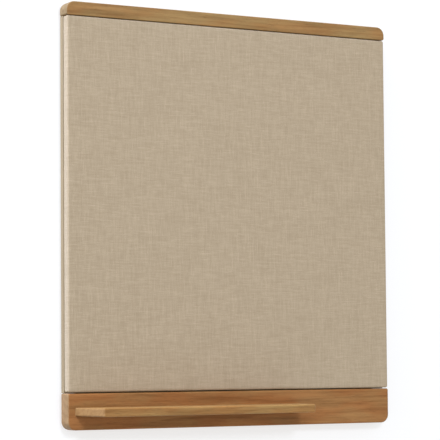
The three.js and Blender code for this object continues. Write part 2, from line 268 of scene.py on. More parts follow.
world = bpy.data.worlds.new("studio")
world.use_nodes = True
scene.world = world
tree = world.node_tree
ray = add_node(tree, "ShaderNodeLightPath").outputs
mirrored = maths(tree, "MAXIMUM", ray["Is Glossy Ray"], ray["Is Transmission Ray"])
seen = maths(tree, "MAXIMUM", ray["Is Camera Ray"], mirrored)
direction = add_node(tree, "ShaderNodeTexCoord").outputs["Generated"]
height = add_node(tree, "ShaderNodeSeparateXYZ", {0: direction}).outputs["Z"]
around = mix_colours(tree, remap(tree, height, WARM_UP_TO, WHITE_FROM), WARM_BELOW, WHITE)
background = tree.nodes["Background"].inputs
tree.links.new(mix_colours(tree, seen, around, WHITE), background["Color"])
tree.links.new(maths(tree, "MAXIMUM", seen, AMBIENT_LEVEL), background["Strength"])
print("world with", len(tree.nodes), "nodes")

# %% [markdown]
# The studio has a plain wall of its own, which catches the soft shadow of the board. White paint
# alone would come out grey where little light falls, so this paint is part own glow and part shade:
# it stays white and still keeps the shadow. The wall shows only from the front, so that the board can
# be looked at from behind too, and it throws no light back onto the board.

# %% Paint the wall
WALL_GLOW = 0.61
WALL_SHADE = (0.40, 0.42, 0.45)
WALL_SIDE = 6.0


def stage_plane(name, material, side, turn, place):
    """A square backdrop that isn't part of the board."""
    mesh = bpy.data.meshes.new(name)
    shape = bmesh.new()
    bmesh.ops.create_grid(shape, x_segments=1, y_segments=1, size=side / 2)
    bmesh.ops.transform(shape, matrix=Matrix.Translation(place) @ turn, verts=shape.verts)
    shape.to_mesh(mesh)
    shape.free()
    mesh.materials.append(material)
    plane = bpy.data.objects.new(name, mesh)
    scene.collection.objects.link(plane)
    plane.visible_diffuse = False
    return plane


wall_paint, tree, shader = new_material("wall paint")
glow = add_node(tree, "ShaderNodeEmission", {"Strength": WALL_GLOW})
shade = add_node(tree, "ShaderNodeBsdfDiffuse", {"Color": WALL_SHADE})
lit = add_node(tree, "ShaderNodeAddShader", {0: glow.outputs[0], 1: shade.outputs[0]})
clear = add_node(tree, "ShaderNodeBsdfTransparent")
behind = add_node(tree, "ShaderNodeNewGeometry").outputs["Backfacing"]
both = add_node(tree, "ShaderNodeMixShader", {0: behind, 1: lit.outputs[0], 2: clear.outputs[0]})
tree.links.new(both.outputs[0], tree.nodes["Material Output"].inputs["Surface"])
upright = Matrix.Rotation(math.pi / 2, 4, "X")
wall = stage_plane("wall", wall_paint, WALL_SIDE, upright, board_middle * Vector((1, 0, 1)))
wall.visible_glossy = False
wall.visible_transmission = False
wall.visible_shadow = False
print("wall", WALL_SIDE, "m wide")

# %% [markdown]
# Far below the board lies a pale floor, for the views from above. A floor with an edge would show as
# a grey band there, and an endless one would turn the horizon grey, so this one fades to white away
# from the board.

# %% Paint the floor
FLOOR_SIDE = 30.0
FLOOR_DROP = 1.3
FLOOR_FADE = (0.8, 2.4)
FLOOR_TONES = ((0.80, 0.80, 0.79), (0.84, 0.84, 0.83))
FLOOR_PATCHES = 1.5
FLOOR_ROUGHNESS = 0.7

floor_paint, tree, shader = new_material("floor paint")
on_floor = object_place(tree)
shader.inputs["Roughness"].default_value = FLOOR_ROUGHNESS
tone = mix_colours(tree, cloud(tree, on_floor, FLOOR_PATCHES), *FLOOR_TONES)
tree.links.new(tone, shader.inputs["Base Color"])
distance = vector_maths(tree, "LENGTH", vector_maths(tree, "MULTIPLY", on_floor, (1, 1, 0)))
white = add_node(tree, "ShaderNodeEmission", {"Strength": 1.0})
sockets = {0: remap(tree, distance, *FLOOR_FADE), 1: shader.outputs[0], 2: white.outputs[0]}
fading = add_node(tree, "ShaderNodeMixShader", sockets)
tree.links.new(fading.outputs[0], tree.nodes["Material Output"].inputs["Surface"])
stage_plane("floor", floor_paint, FLOOR_SIDE, Matrix.Identity(4), (0, 0, cad_low.z - FLOOR_DROP))

# %% [markdown]
# Most pieces of the board are slabs: an outline, some of its corners round, given a thickness. The
# outline could be a Blender curve, but plain points are easier to shift about. One helper rounds the
# corners, one draws an outline in by a distance, and two say which way a slab lies.

# %% Define the outline helpers
def rounded(corners, steps=10):
    """An outline, anticlockwise, from corners given as (across, up, radius)."""
    points = []
    for i, (across, up, radius) in enumerate(corners):
        corner = Vector((across, up))
        if radius == 0:
            points.append(corner)
            continue
        before = (Vector(corners[i - 1][:2]) - corner).normalized()
        after = (Vector(corners[(i + 1) % len(corners)][:2]) - corner).normalized()
        half_angle = before.angle(after) / 2
        centre = corner + (before + after).normalized() * (radius / math.sin(half_angle))
        first = corner + before * (radius / math.tan(half_angle)) - centre
        turn = math.pi - 2 * half_angle
        for step in range(steps + 1):
            angle = math.atan2(first.y, first.x) + turn * step / steps
            points.append(centre + Vector((math.cos(angle), math.sin(angle))) * radius)
    return points


def drawn_in(points, distance):
    """The same outline, drawn in by a distance with its corners kept."""
    inner = []
    for i, point in enumerate(points):
        before = (point - points[i - 1]).normalized()
        after = (points[(i + 1) % len(points)] - point).normalized()
        inward = Vector((-before.y, before.x))
        middle = (inward + Vector((-after.y, after.x))).normalized()
        inner.append(point + middle * (distance / middle.dot(inward)))
    return inner


def facing_front(across, up, depth):
    return Vector((across, depth, up))


def lying_flat(across, up, depth):
    return Vector((across, up, depth))


print("outline helpers ready")

# %% [markdown]
# No edge of a real board is sharp: each is eased with a few strokes of sandpaper. A Bevel modifier
# could ease them, but it stumbles where a round corner meets a straight edge. So a slab is built as a
# stack of rings, each one the outline drawn in a little, and its eased edge is true geometry. Screws
# and bumpers are turned round an axis instead, as on a lathe.

# %% Define the slab and the turned form
EASE_STEPS = 5


def quarter_turn(steps):
    """Angles from nought to a right angle."""
    return [math.pi / 2 * step / steps for step in range(steps + 1)]


def bridge(shape, ring, following):
    """A band of faces between two rings of points."""
    for i in range(len(ring)):
        after = (i + 1) % len(ring)
        shape.faces.new((ring[i], ring[after], following[after], following[i]))


def slab(outline, first, last, ease, placing):
    """A bmesh slab between two depths, with both of its rims eased."""
    shape = bmesh.new()
    rim = [(ease * (1 - math.sin(turn)), ease * (1 - math.cos(turn))) for turn in quarter_turn(EASE_STEPS)]
    sections = [(first + depth, inset) for depth, inset in reversed(rim)]
    sections += [(last - depth, inset) for depth, inset in rim]
    rings = []
    for depth, inset in sections:
        points = drawn_in(outline, inset)
        rings.append([shape.verts.new(placing(point.x, point.y, depth)) for point in points])
    for ring, following in zip(rings, rings[1:]):
        bridge(shape, ring, following)
    shape.faces.new(rings[0])
    shape.faces.new(rings[-1])
    return shape


def turned(profile, sides):
    """A bmesh turned round the y axis, from a profile of (radius, y) that starts and ends on the axis."""
    shape = bmesh.new()
    circle = [2 * math.pi * side / sides for side in range(sides)]
    rings = []
    for radius, y in profile[1:-1]:
        points = [(radius * math.cos(angle), y, radius * math.sin(angle)) for angle in circle]
        rings.append([shape.verts.new(point) for point in points])
    for ring, following in zip(rings, rings[1:]):
        bridge(shape, ring, following)
    for (_, y), ring in ((profile[0], rings[0]), (profile[-1], rings[-1])):
        pole = shape.verts.new((0, y, 0))
        for i in range(sides):
            shape.faces.new((ring[i], ring[(i + 1) % sides], pole))
    return shape


print("slab and turned form ready")

# %% [markdown]
# Rabbets, holes and recesses are taken away with a Boolean modifier, as a saw or a drill takes wood
# away. They could be left live, but a model saved for other programs wants plain meshes, and so each
# modifier is settled at once. Cutters are bmeshes too: a plain block, a turned form, or several joined.

# %% Define cutting and settling
def add_piece(name, shape, material):
    """A new object from a bmesh, with its faces turned outwards and its rounds shaded smooth."""
    bmesh.ops.recalc_face_normals(shape, faces=shape.faces)
    mesh = bpy.data.meshes.new(name)
    shape.to_mesh(mesh)
    shape.free()
    mesh.materials.append(material)
    mesh.shade_smooth()
    piece = bpy.data.objects.new(name, mesh)
    scene.collection.objects.link(piece)
    return piece


def settle(piece):
    """Turn a piece and its modifiers into a plain mesh."""
    graph = bpy.context.evaluated_depsgraph_get()
    shown = piece.evaluated_get(graph)
    mesh = bpy.data.meshes.new_from_object(shown, preserve_all_data_layers=True, depsgraph=graph)
    piece.modifiers.clear()
    piece.data = mesh
    return piece


def carve(piece, shape, operation="DIFFERENCE"):
    """Cut a bmesh out of a piece, or keep only what they share."""
    cutter = add_piece("cutter", shape, piece.data.materials[0])
    cut = piece.modifiers.new("cut", "BOOLEAN")
    cut.object = cutter
    cut.operation = operation
    cut.solver = "EXACT"
    settle(piece)
    bpy.data.objects.remove(cutter)
    return piece


def joined(shapes):
    """One bmesh that holds several."""
    whole = bmesh.new()
    for shape in shapes:
        mesh = bpy.data.meshes.new("part of a cutter")
        shape.to_mesh(mesh)
        shape.free()
        whole.from_mesh(mesh)
        bpy.data.meshes.remove(mesh)
    return whole


def moved(shape, place):
    bmesh.ops.translate(shape, vec=place, verts=shape.verts)
    return shape


def block(low, high):
    """A plain bmesh block between two corners, for cutting."""
    low, high = Vector(low), Vector(high)
    shape = bmesh.new()
    bmesh.ops.create_cube(shape, size=1)
    bmesh.ops.scale(shape, vec=high - low, verts=shape.verts)
    return moved(shape, (low + high) / 2)


print("cutting and settling ready")

# %% [markdown]
# A finished piece takes the place of its solids. Its flat faces should shade flat and its eased edges
# round, which plain smooth shading spoils. Weighted normals let the large faces decide, so that is
# done last. Then the piece is told which solids it stands for and which body it moves with.

# %% Define how a piece is finished
SHARP_ANGLE = math.radians(38)


def even_shading(piece):
    """Let large flat faces set the normals, so that eased edges shade cleanly."""
    piece.data.set_sharp_from_angle(angle=SHARP_ANGLE)
    weighted = piece.modifiers.new("weighted normals", "WEIGHTED_NORMAL")
    weighted.keep_sharp = True
    return settle(piece)


def dress(piece, slot, *nodes, body="board"):
    """Let a finished piece stand for its solids and move with their body."""
    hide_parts(*nodes)
    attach(piece, body)
    print(piece.name, "stands for", len(nodes), "solids with", len(piece.data.polygons), "faces")
    return piece


print("finishing ready")

# %% [markdown]
# The cap, the rail and the ledge are hardwood, with fibres along their length. A picture of wood
# could be laid on each face, but the ends would then look wrong. Here the grain is a solid pattern:
# growth rings lie round a pith line beside the board, and streaks, fibres, pores and patches of tone
# are drawn out along it. Every cut through the board shows what a saw would show.

# %% Build the grain group
# Waves per millimetre along and across the fibres, detail and roughness of the noise, and what part
# of it shows.
GRAIN_LAYERS = {
    "Streaks": ((0.009, 0.15), (4.0, 0.6), (0.28, 0.72)),
    "Fibres": ((0.02, 1.1), (3.0, 0.6), (0.28, 0.72)),
    "Pores": ((0.1, 2.4), (1.0, 0.5), (0.62, 0.72)),
    "Patches": ((0.014, 0.05), (2.0, 0.5), (0.36, 0.64)),
}
DRIFT_WAVES = (0.003, 0.03)
DRIFT_NOISE = (3.0, 0.5)
RING_DRIFT = 40.0
EARLY_WOOD, LATE_WOOD = 0.35, 0.93


def build_grain():
    inputs = {"Position": "NodeSocketVector", "Pith": "NodeSocketVector", "Ring Width": "NodeSocketFloat"}
    outputs = dict.fromkeys(("Rings", *GRAIN_LAYERS), "NodeSocketFloat")
    tree, given, result = new_group("timber grain", inputs, outputs)
    position = in_millimetres(tree, given.outputs["Position"])
    from_pith = vector_maths(tree, "SUBTRACT", position, given.outputs["Pith"])

    def drawn_out(waves, noise_kind):
        along, across = waves
        stretched = vector_maths(tree, "MULTIPLY", from_pith, (along, across, across))
        return cloud(tree, stretched, 1.0, *noise_kind)

    drift = maths(tree, "MULTIPLY", drawn_out(DRIFT_WAVES, DRIFT_NOISE), RING_DRIFT)
    radius = vector_maths(tree, "LENGTH", vector_maths(tree, "MULTIPLY", from_pith, (0, 1, 1)))
    years = maths(tree, "DIVIDE", maths(tree, "ADD", radius, drift), given.outputs["Ring Width"])
    season = maths(tree, "FRACT", years)
    darkening = remap(tree, season, EARLY_WOOD, LATE_WOOD)
    ending = remap(tree, season, LATE_WOOD, 1.0, 1.0, 0.0)
    tree.links.new(maths(tree, "MULTIPLY", darkening, ending), result.inputs["Rings"])
    for label, (waves, noise_kind, shown) in GRAIN_LAYERS.items():
        layer = remap(tree, drawn_out(waves, noise_kind), *shown)
        tree.links.new(layer, result.inputs[label])
    return tree


grain_group = build_grain()
print("grain group with", len(grain_group.nodes), "nodes")

# %% [markdown]
# The cap is honey brown, the rail redder and the ledge a little more olive, all of them oiled to a
# satin. They could be three separate materials, but they share one function and differ in colour and
# in where the pith lies. The tone wanders between ruddy and golden patches. A sawn end is duller and
# its pattern calmer, so the share of a face that looks along the board sets how much of an end it is.

# %% Make the wood finishes
RUDDY = (1.02, 0.95, 0.90)
GOLDEN = (0.98, 1.06, 1.10)
PALE_GRAIN = (1.32, 1.36, 1.42)
DARK_GRAIN = (0.72, 0.64, 0.55)
PORE_SHADE = 0.4
END_FROM, END_TO = 0.2, 0.65
RING_SHARE = 0.22
# Each share holds on the face of a board, and a sawn end loses the second value of it.
STREAK_SHARE = (0.55, 0.25)
FIBRE_SHARE = (0.25, 0.18)
PORE_SHARE = (0.35, 0.27)
SATIN = 0.42
FIBRE_ROUGHNESS = 0.12
PORE_ROUGHNESS = 0.2
WOOD_GLOSS = 0.15
FIBRE_RELIEF = 0.4
WOOD_RELIEF = 0.12 * MM


def scaled(colour, shares):
    return tuple(channel * share for channel, share in zip(colour, shares))


def wood_finish(name, colour, sawn_end, pith, ring_width):
    """Oiled wood. Its pith runs along x through the point given, in millimetres like the ring width."""
    material, tree, shader = new_material(name)
    place = add_node(tree, "ShaderNodeTexCoord").outputs
    sockets = {"Position": place["Object"], "Pith": pith, "Ring Width": ring_width}
    grain = use_group(tree, grain_group, sockets)
    facing = add_node(tree, "ShaderNodeSeparateXYZ", {0: place["Normal"]}).outputs["X"]
    end = remap(tree, maths(tree, "ABSOLUTE", facing), END_FROM, END_TO)

    def shown(layer, share):
        on_face, lost_on_end = share
        visible = maths(tree, "MULTIPLY_ADD", end, -lost_on_end, on_face)
        return maths(tree, "MULTIPLY", grain[layer], visible)

    face = mix_colours(tree, grain["Patches"], scaled(colour, RUDDY), scaled(colour, GOLDEN))
    plain = mix_colours(tree, end, face, sawn_end)
    depth = maths(tree, "MULTIPLY_ADD", grain["Rings"], RING_SHARE, shown("Streaks", STREAK_SHARE))
    depth = maths(tree, "ADD", depth, shown("Fibres", FIBRE_SHARE))
    grained = mix_colours(tree, 1.0, plain, mix_colours(tree, depth, PALE_GRAIN, DARK_GRAIN), "MULTIPLY")
    in_pores = scaled(colour, (PORE_SHADE,) * 3)
    oiled = mix_colours(tree, shown("Pores", PORE_SHARE), grained, in_pores)
    tree.links.new(oiled, shader.inputs["Base Color"])
    rough = maths(tree, "MULTIPLY_ADD", grain["Fibres"], FIBRE_ROUGHNESS, SATIN)
    rough = maths(tree, "MULTIPLY_ADD", grain["Pores"], PORE_ROUGHNESS, rough)
    tree.links.new(rough, shader.inputs["Roughness"])
    shader.inputs["Specular IOR Level"].default_value = WOOD_GLOSS
    raised = maths(tree, "MULTIPLY", grain["Fibres"], FIBRE_RELIEF)
    bump(tree, shader, maths(tree, "SUBTRACT", raised, grain["Pores"]), WOOD_RELIEF)
    return material


cap_wood = wood_finish(
    "cap wood",
    colour=(0.288, 0.168, 0.064),
    sawn_end=(0.220, 0.152, 0.079),
    pith=(210, 40, -130),
    ring_width=9.0,
)
rail_wood = wood_finish(
    "rail wood",
    colour=(0.290, 0.136, 0.046),
    sawn_end=(0.244, 0.151, 0.075),
    pith=(200, 55, -640),
    ring_width=11.0,
)
ledge_wood = wood_finish(
    "ledge wood",
    colour=(0.308, 0.168, 0.058),
    sawn_end=(0.248, 0.139, 0.055),
    pith=(40, -30, -470),
    ring_width=8.0,
)
print("woods:", cap_wood.name, rail_wood.name, ledge_wood.name)

# %% [markdown]
# The cap is a plank along the top, with its two upper corners round. Behind, a stopped rabbet takes
# the upper tongue of the back panel. The plank could be a cube with bevelled edges, but a slab from
# an outline gives each corner its own radius. It reaches a little lower than its solid, so that only
# a fine dark line is left above the linen.

# %% Shape the cap
CORNER_RADIUS = 12.5 * MM
ARRIS_RADIUS = 2.5 * MM
CAP_EASE = 1.4 * MM
CAP_DROP = 0.7 * MM
FIT_GAP = 0.3 * MM
OVERSHOOT = 2 * MM
TONGUE_MARGIN = 20 * MM
tongue_half = half_width - TONGUE_MARGIN
cap_edge = cap_low.z - CAP_DROP


def plank(name, material, ease, bottom, top, bottom_radius, top_radius):
    """A plank as wide as the board, between two heights."""
    outline = rounded([
        (-half_width, bottom, bottom_radius),
        (half_width, bottom, bottom_radius),
        (half_width, top, top_radius),
        (-half_width, top, top_radius),
    ])
    return add_piece(name, slab(outline, wood_front, wood_back, ease, facing_front), material)


def cut_rabbet(piece, bottom, top):
    """A rabbet behind a plank, for a tongue of the back panel."""
    low = (-tongue_half, panel_low.y - FIT_GAP, bottom)
    high = (tongue_half, wood_back + OVERSHOOT, top)
    return carve(piece, block(low, high))


cap = plank("wooden_cap", cap_wood, CAP_EASE, cap_edge, cap_high.z, ARRIS_RADIUS, CORNER_RADIUS)
cut_rabbet(cap, cap_edge - OVERSHOOT, panel_high.z + FIT_GAP)
dress(even_shading(cap), "cap_wood", "top_rail")

# %% [markdown]
# The rail is the same kind of plank turned over, with its two lower corners round. From behind, three
# counterbored holes let screws through into the ledge. They could be cut one by one, but joined into
# one cutter they need a single Boolean. Each is a little wider than its screw's head and follows the
# screw if that is moved.

# %% Shape the rail
RAIL_EASE = 2.4 * MM
SIDES = 40


def numbered(stem):
    """The names of all solids that start with these words, in order."""
    return sorted(node for node in frame["nodes"] if node.startswith(stem))


def head_centre(node):
    """The middle of a screw's outer face, which looks towards the wall."""
    low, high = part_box(node)
    return Vector(((low.x + high.x) / 2, high.y, (low.z + high.z) / 2))


def drill(radius, first, last, place):
    """A round bar along y between two depths, for cutting."""
    profile = [(0, first), (radius, first), (radius, last), (0, last)]
    return moved(turned(profile, SIDES), place)


def counterbore(centre, radius):
    return drill(radius, centre.y - OVERSHOOT, wood_back + OVERSHOOT, Vector((centre.x, 0, centre.z)))


ledge_screws = numbered("ledge_screw_")
screw_low, screw_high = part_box(ledge_screws[0])
wood_screw_radius = (screw_high.x - screw_low.x) / 2
rail = plank("wooden_rail", rail_wood, RAIL_EASE, rail_low.z, rail_high.z, CORNER_RADIUS, ARRIS_RADIUS)
cut_rabbet(rail, panel_low.z - FIT_GAP, rail_high.z + OVERSHOOT)
carve(rail, joined([counterbore(head_centre(node), wood_screw_radius + FIT_GAP) for node in ledge_screws]))
dress(even_shading(rail), "rail_wood", "bottom_rail")

# %% [markdown]
# The ledge is a shelf for pencils whose ends taper towards the front. It is drawn from above, as a
# maker would draw it on the plank, and eased all round. The back edge should stay square where it
# meets the rail. That could be done with edge weights, but it is simpler to make the shelf too deep
# and plane it off.

# %% Shape the ledge
LEDGE_TAPER = 12 * MM
LEDGE_CORNER = 3.0 * MM
LEDGE_EASE = 2.2 * MM
behind_rail = wood_front + 3 * LEDGE_EASE
outline = rounded([
    (ledge_low.x, behind_rail, 0),
    (ledge_low.x, wood_front, 0),
    (ledge_low.x + LEDGE_TAPER, ledge_low.y, LEDGE_CORNER),
    (ledge_high.x - LEDGE_TAPER, ledge_low.y, LEDGE_CORNER),
    (ledge_high.x, wood_front, 0),
    (ledge_high.x, behind_rail, 0),
])
shape = slab(outline, ledge_low.z, ledge_high.z, LEDGE_EASE, lying_flat)
ledge = add_piece("pencil_shelf", shape, ledge_wood)
carve(ledge, block(
    (ledge_low.x - OVERSHOOT, wood_front, ledge_low.z - OVERSHOOT),
    (ledge_high.x + OVERSHOOT, behind_rail + OVERSHOOT, ledge_high.z + OVERSHOOT),
))
dress(even_shading(ledge), "ledge_wood", "pencil_ledge")

# %% [markdown]
# Linen is a plain weave: each thread goes over one crossing thread and under the next. The yarn is
# uneven, so a thread swells here and there into a slub, and its tone is partly its own and partly
# shared with its neighbours, which come off the same batch. A checker pattern would do from far off,
# but not close up. This group counts threads in both directions, rounds each one, lifts it where it
# goes over, and lets its tone drift along it. It reads the cloth's own UV map, in metres, so the
# threads turn round the edges.

# %% Build the weave group
SWAY_SCALE = 0.05
SWAY_MM = (1.4, 1.4, 0)
# How fast tone changes from thread to thread, and along a thread.
OWN_TONE = (3.7, 0.035)
SHARED_TONE = (0.3, 0.022)
SHARED_SHIFT = 9
SWELLING = (0.55, 0.8)
ROUND_SHARE = 0.65
LIFT_SHARE = 0.35
SWELL_SHARE = 0.35
CROSSING = 0.08
WARP_SHIFT, WEFT_SHIFT = -0.5, 0.5
TONE_BLEND = 0.5


def build_weave():
    inputs = {"Cloth": "NodeSocketVector", "Threads": "NodeSocketVector"}
    outputs = dict.fromkeys(("Height", "Tone", "Slubs"), "NodeSocketFloat")
    tree, given, result = new_group("plain weave", inputs, outputs)
    flat = in_millimetres(tree, given.outputs["Cloth"])
    bent = add_node(tree, "ShaderNodeTexNoise", {"Vector": flat, "Scale": SWAY_SCALE, "Detail": 2.0})
    sway = vector_maths(tree, "MULTIPLY", bent.outputs["Color"], SWAY_MM)
    swayed = vector_maths(tree, "ADD", flat, sway)
    threads = vector_maths(tree, "MULTIPLY", swayed, given.outputs["Threads"])
    counted = add_node(tree, "ShaderNodeSeparateXYZ", {0: threads}).outputs

    def drifting(number, lengthwise, change, seed):
        """Tone that changes from thread to thread and drifts along each thread."""
        by_thread, by_length = change
        row = maths(tree, "MULTIPLY", number, by_thread)
        along = maths(tree, "MULTIPLY", lengthwise, by_length)
        spot = add_node(tree, "ShaderNodeCombineXYZ", {0: row, 1: along, 2: seed})
        return cloud(tree, spot.outputs[0], 1.0)

    def yarn(crosswise, lengthwise, shift):
        """Height, tone and swelling of one set of threads."""
        number = maths(tree, "FLOOR", crosswise)
        half_turn = maths(tree, "MULTIPLY", maths(tree, "FRACT", crosswise), math.pi)
        roundness = maths(tree, "SINE", half_turn)
        crossings = maths(tree, "ADD", maths(tree, "ADD", lengthwise, shift), number)
        lift = maths(tree, "COSINE", maths(tree, "MULTIPLY", crossings, math.pi))
        own_tone = drifting(number, lengthwise, OWN_TONE, shift)
        shared_tone = drifting(number, lengthwise, SHARED_TONE, shift + SHARED_SHIFT)
        swell = remap(tree, own_tone, *SWELLING)
        height = maths(tree, "MULTIPLY", roundness, ROUND_SHARE)
        height = maths(tree, "MULTIPLY_ADD", lift, LIFT_SHARE, height)
        height = maths(tree, "MULTIPLY_ADD", swell, SWELL_SHARE, height)
        return height, mix_values(tree, TONE_BLEND, own_tone, shared_tone), swell

    warp, warp_tone, warp_swell = yarn(counted["X"], counted["Y"], WARP_SHIFT)
    weft, weft_tone, weft_swell = yarn(counted["Y"], counted["X"], WEFT_SHIFT)
    over = remap(tree, maths(tree, "SUBTRACT", warp, weft), -CROSSING, CROSSING)
    tree.links.new(maths(tree, "MAXIMUM", warp, weft), result.inputs["Height"])
    tree.links.new(mix_values(tree, over, weft_tone, warp_tone), result.inputs["Tone"])
    tree.links.new(mix_values(tree, over, weft_swell, warp_swell), result.inputs["Slubs"])
    return tree


weave_group = build_weave()
print("weave group with", len(weave_group.nodes), "nodes")

# %% [markdown]
# The cloth is undyed, so it is oatmeal, with paler and greyer threads. Where the threads lie low
# between the crossings, the cloth is darkened with painted shade. The slubs are a little lighter, and a
# soft sheen stands for the fine fuzz. Real fuzz could be grown as hair, but at this size it would only
# cost time.

# %% Make the linen finish
CLOTH_MAP = "cloth"
THREADS_PER_MM = (1.9, 1.7, 1.0)
DARK_YARN = (0.400, 0.324, 0.226)
PALE_YARN = (0.53, 0.437, 0.320)
YARN_TONES = (0.31, 0.69)
SLUB_COLOUR = (0.62, 0.525, 0.405)
SLUB_SHARE = 0.35
# Painted shade: the colour that the cloth is darkened towards where the threads lie low.
GAP_PAINTED_SHADE = (0.25, 0.198, 0.134)
SHADED_GAP_HEIGHTS = (0.25, 0.75)
GAP_SHADE_SHARE = 0.55
WEAVE_RELIEF = 0.16 * MM
LINEN_ROUGHNESS = 0.92
LINEN_GLOSS = 0.2
FUZZ_SHEEN = 0.15
FUZZ_ROUGHNESS = 0.5

linen_cloth, tree, shader = new_material("linen cloth")
on_cloth = add_node(tree, "ShaderNodeUVMap", uv_map=CLOTH_MAP).outputs["UV"]
weave = use_group(tree, weave_group, {"Cloth": on_cloth, "Threads": THREADS_PER_MM})
colour = mix_colours(tree, remap(tree, weave["Tone"], *YARN_TONES), DARK_YARN, PALE_YARN)
colour = mix_colours(tree, maths(tree, "MULTIPLY", weave["Slubs"], SLUB_SHARE), colour, SLUB_COLOUR)
# Painted shade: the low places between the threads are darkened, by their height in the weave.
painted_gap_shade = remap(tree, weave["Height"], *SHADED_GAP_HEIGHTS, GAP_SHADE_SHARE, 0.0)
colour = mix_colours(tree, painted_gap_shade, colour, GAP_PAINTED_SHADE)
tree.links.new(colour, shader.inputs["Base Color"])
shader.inputs["Roughness"].default_value = LINEN_ROUGHNESS
shader.inputs["Specular IOR Level"].default_value = LINEN_GLOSS
shader.inputs["Sheen Weight"].default_value = FUZZ_SHEEN
shader.inputs["Sheen Roughness"].default_value = FUZZ_ROUGHNESS
bump(tree, shader, weave["Height"], WEAVE_RELIEF)
print("linen with", len(tree.nodes), "nodes")

# %% [markdown]
# On the real board a cut of linen is pulled over the soft core and turned over behind it. A cloth
# simulation could pull it, but cloth that is stretched tight just follows its core. So it is laid by
# rule: past the rim of the front it runs round the edge, along the side, round again and onto the
# back. Small noise moves it by a few tenths of a millimetre, as hand-stretched cloth does, and dies
# away towards the back.

# %% Work out how the linen leaves the front
LINEN_EDGE = 2.8 * MM
LINEN_TURNOVER = 28 * MM
LINEN_WAVE = 0.22 * MM
WAVE_LENGTH = 45 * MM
FINER_WAVE = 2.3
FINER_SHARE = 0.5
SIDE_WAVE_SHARE = 0.5
ROUND_STEPS = 6
SIDE_STEPS = 4
TURNOVER_STEPS = 6
linen_depth = linen_high.y - linen_low.y


def edge_sections():
    """How the cloth leaves the front: distance from the edge, depth behind the front, length of cloth."""
    quarter = LINEN_EDGE * math.pi / 2
    straight = linen_depth - 2 * LINEN_EDGE
    flat = LINEN_TURNOVER - LINEN_EDGE
    bend = [
        (LINEN_EDGE * (1 - math.sin(turn)), LINEN_EDGE * (1 - math.cos(turn)), LINEN_EDGE * turn)
        for turn in quarter_turn(ROUND_STEPS)[1:]
    ]
    sections = list(bend)
    for step in range(1, SIDE_STEPS + 1):
        run = straight * step / SIDE_STEPS
        sections.append((0, LINEN_EDGE + run, quarter + run))
    for near, far, length in bend:
        sections.append((far, linen_depth - near, quarter + straight + length))
    for step in range(1, TURNOVER_STEPS + 1):
        run = flat * step / TURNOVER_STEPS
        sections.append((LINEN_EDGE + run, linen_depth, 2 * quarter + straight + run))
    return sections


def linen_wave(x, z, depth):
    """A gentle unevenness of the cloth, in metres."""
    spot = Vector((x, depth, z)) / WAVE_LENGTH
    return LINEN_WAVE * (noise.noise(spot) + FINER_SHARE * noise.noise(spot * FINER_WAVE))


def past_the_rim(flat, way, inset, back, length):
    """Where cloth lies that left the front's rim: its place, and its place on the flat cloth."""
    out = LINEN_EDGE - inset
    x = flat[0] + way[0] * out
    z = flat[1] + way[1] * out
    wave = linen_wave(x, z, back) * (1 - back / linen_depth)
    return (
        x + way[0] * wave * SIDE_WAVE_SHARE,
        linen_low.y + back + wave * max(0, 1 - back / LINEN_EDGE),
        z + way[1] * wave * SIDE_WAVE_SHARE,
        flat[0] + way[0] * length,
        flat[1] + way[1] * length,
    )


linen_sections = edge_sections()
print("past the rim the cloth runs on for", round(linen_sections[-1][2] / MM, 1), "mm")

# %% [markdown]
# The mesh is a fine grid for the front, with one ring of points after another from its rim to the
# back. At a corner one point of the rim fans out, as folded cloth does there. Every point keeps the
# place on the flat cloth where it came from, which becomes its UV map: so the weave isn't stretched
# anywhere, as it would be by a projection from the front. A Solidify modifier gives the sheet its
# thickness.

# %% Wrap the linen
LINEN_THICKNESS = 0.9 * MM
LINEN_STEP = 4 * MM
FAN_STEPS = 6


def corner_fan(point, first_angle):
    """The same corner of the grid several times, turning through a right angle."""
    angles = [math.radians(first_angle) + turn for turn in quarter_turn(FAN_STEPS)]
    return [(point, (math.cos(angle), math.sin(angle))) for angle in angles]


def grid_rim(grid):
    """The rim of the front, anticlockwise: each point, and the way in which the cloth leaves there."""
    bottom, top, between = grid[0], grid[-1], grid[1:-1]
    rim = [(point, (0, -1)) for point in bottom[1:-1]]
    rim += corner_fan(bottom[-1], -90)
    rim += [(row[-1], (1, 0)) for row in between]
    rim += corner_fan(top[-1], 0)
    rim += [(point, (0, 1)) for point in reversed(top[1:-1])]
    rim += corner_fan(top[0], 90)
    rim += [(row[0], (-1, 0)) for row in reversed(between)]
    rim += corner_fan(bottom[0], 180)
    return rim


def evenly(first, last):
    """Places between two ends, about a step of the grid apart."""
    count = round((last - first) / LINEN_STEP)
    return [first + (last - first) * i / count for i in range(count + 1)]


def wrap_linen():
    """The cloth as a bmesh, and for each of its points the place on the flat cloth."""
    shape = bmesh.new()
    flat = {}

    def add(x, y, z, u, v):
        point = shape.verts.new((x, y, z))
        flat[point] = (u, v)
        return point

    columns = evenly(linen_low.x + LINEN_EDGE, linen_high.x - LINEN_EDGE)
    rows = evenly(linen_low.z + LINEN_EDGE, linen_high.z - LINEN_EDGE)
    grid = [[add(x, linen_low.y + linen_wave(x, z, 0), z, x, z) for x in columns] for z in rows]
    for row, above in zip(grid, grid[1:]):
        for i in range(len(columns) - 1):
            shape.faces.new((row[i], row[i + 1], above[i + 1], above[i]))
    rim = grid_rim(grid)
    ring = [point for point, way in rim]
    for section in linen_sections:
        following = [add(*past_the_rim(flat[point], way, *section)) for point, way in rim]
        for i in range(len(ring)):
            after = (i + 1) % len(ring)
            corners = (ring[i], following[i], following[after], ring[after])
            shape.faces.new(list(dict.fromkeys(corners)))
        ring = following
    return shape, flat


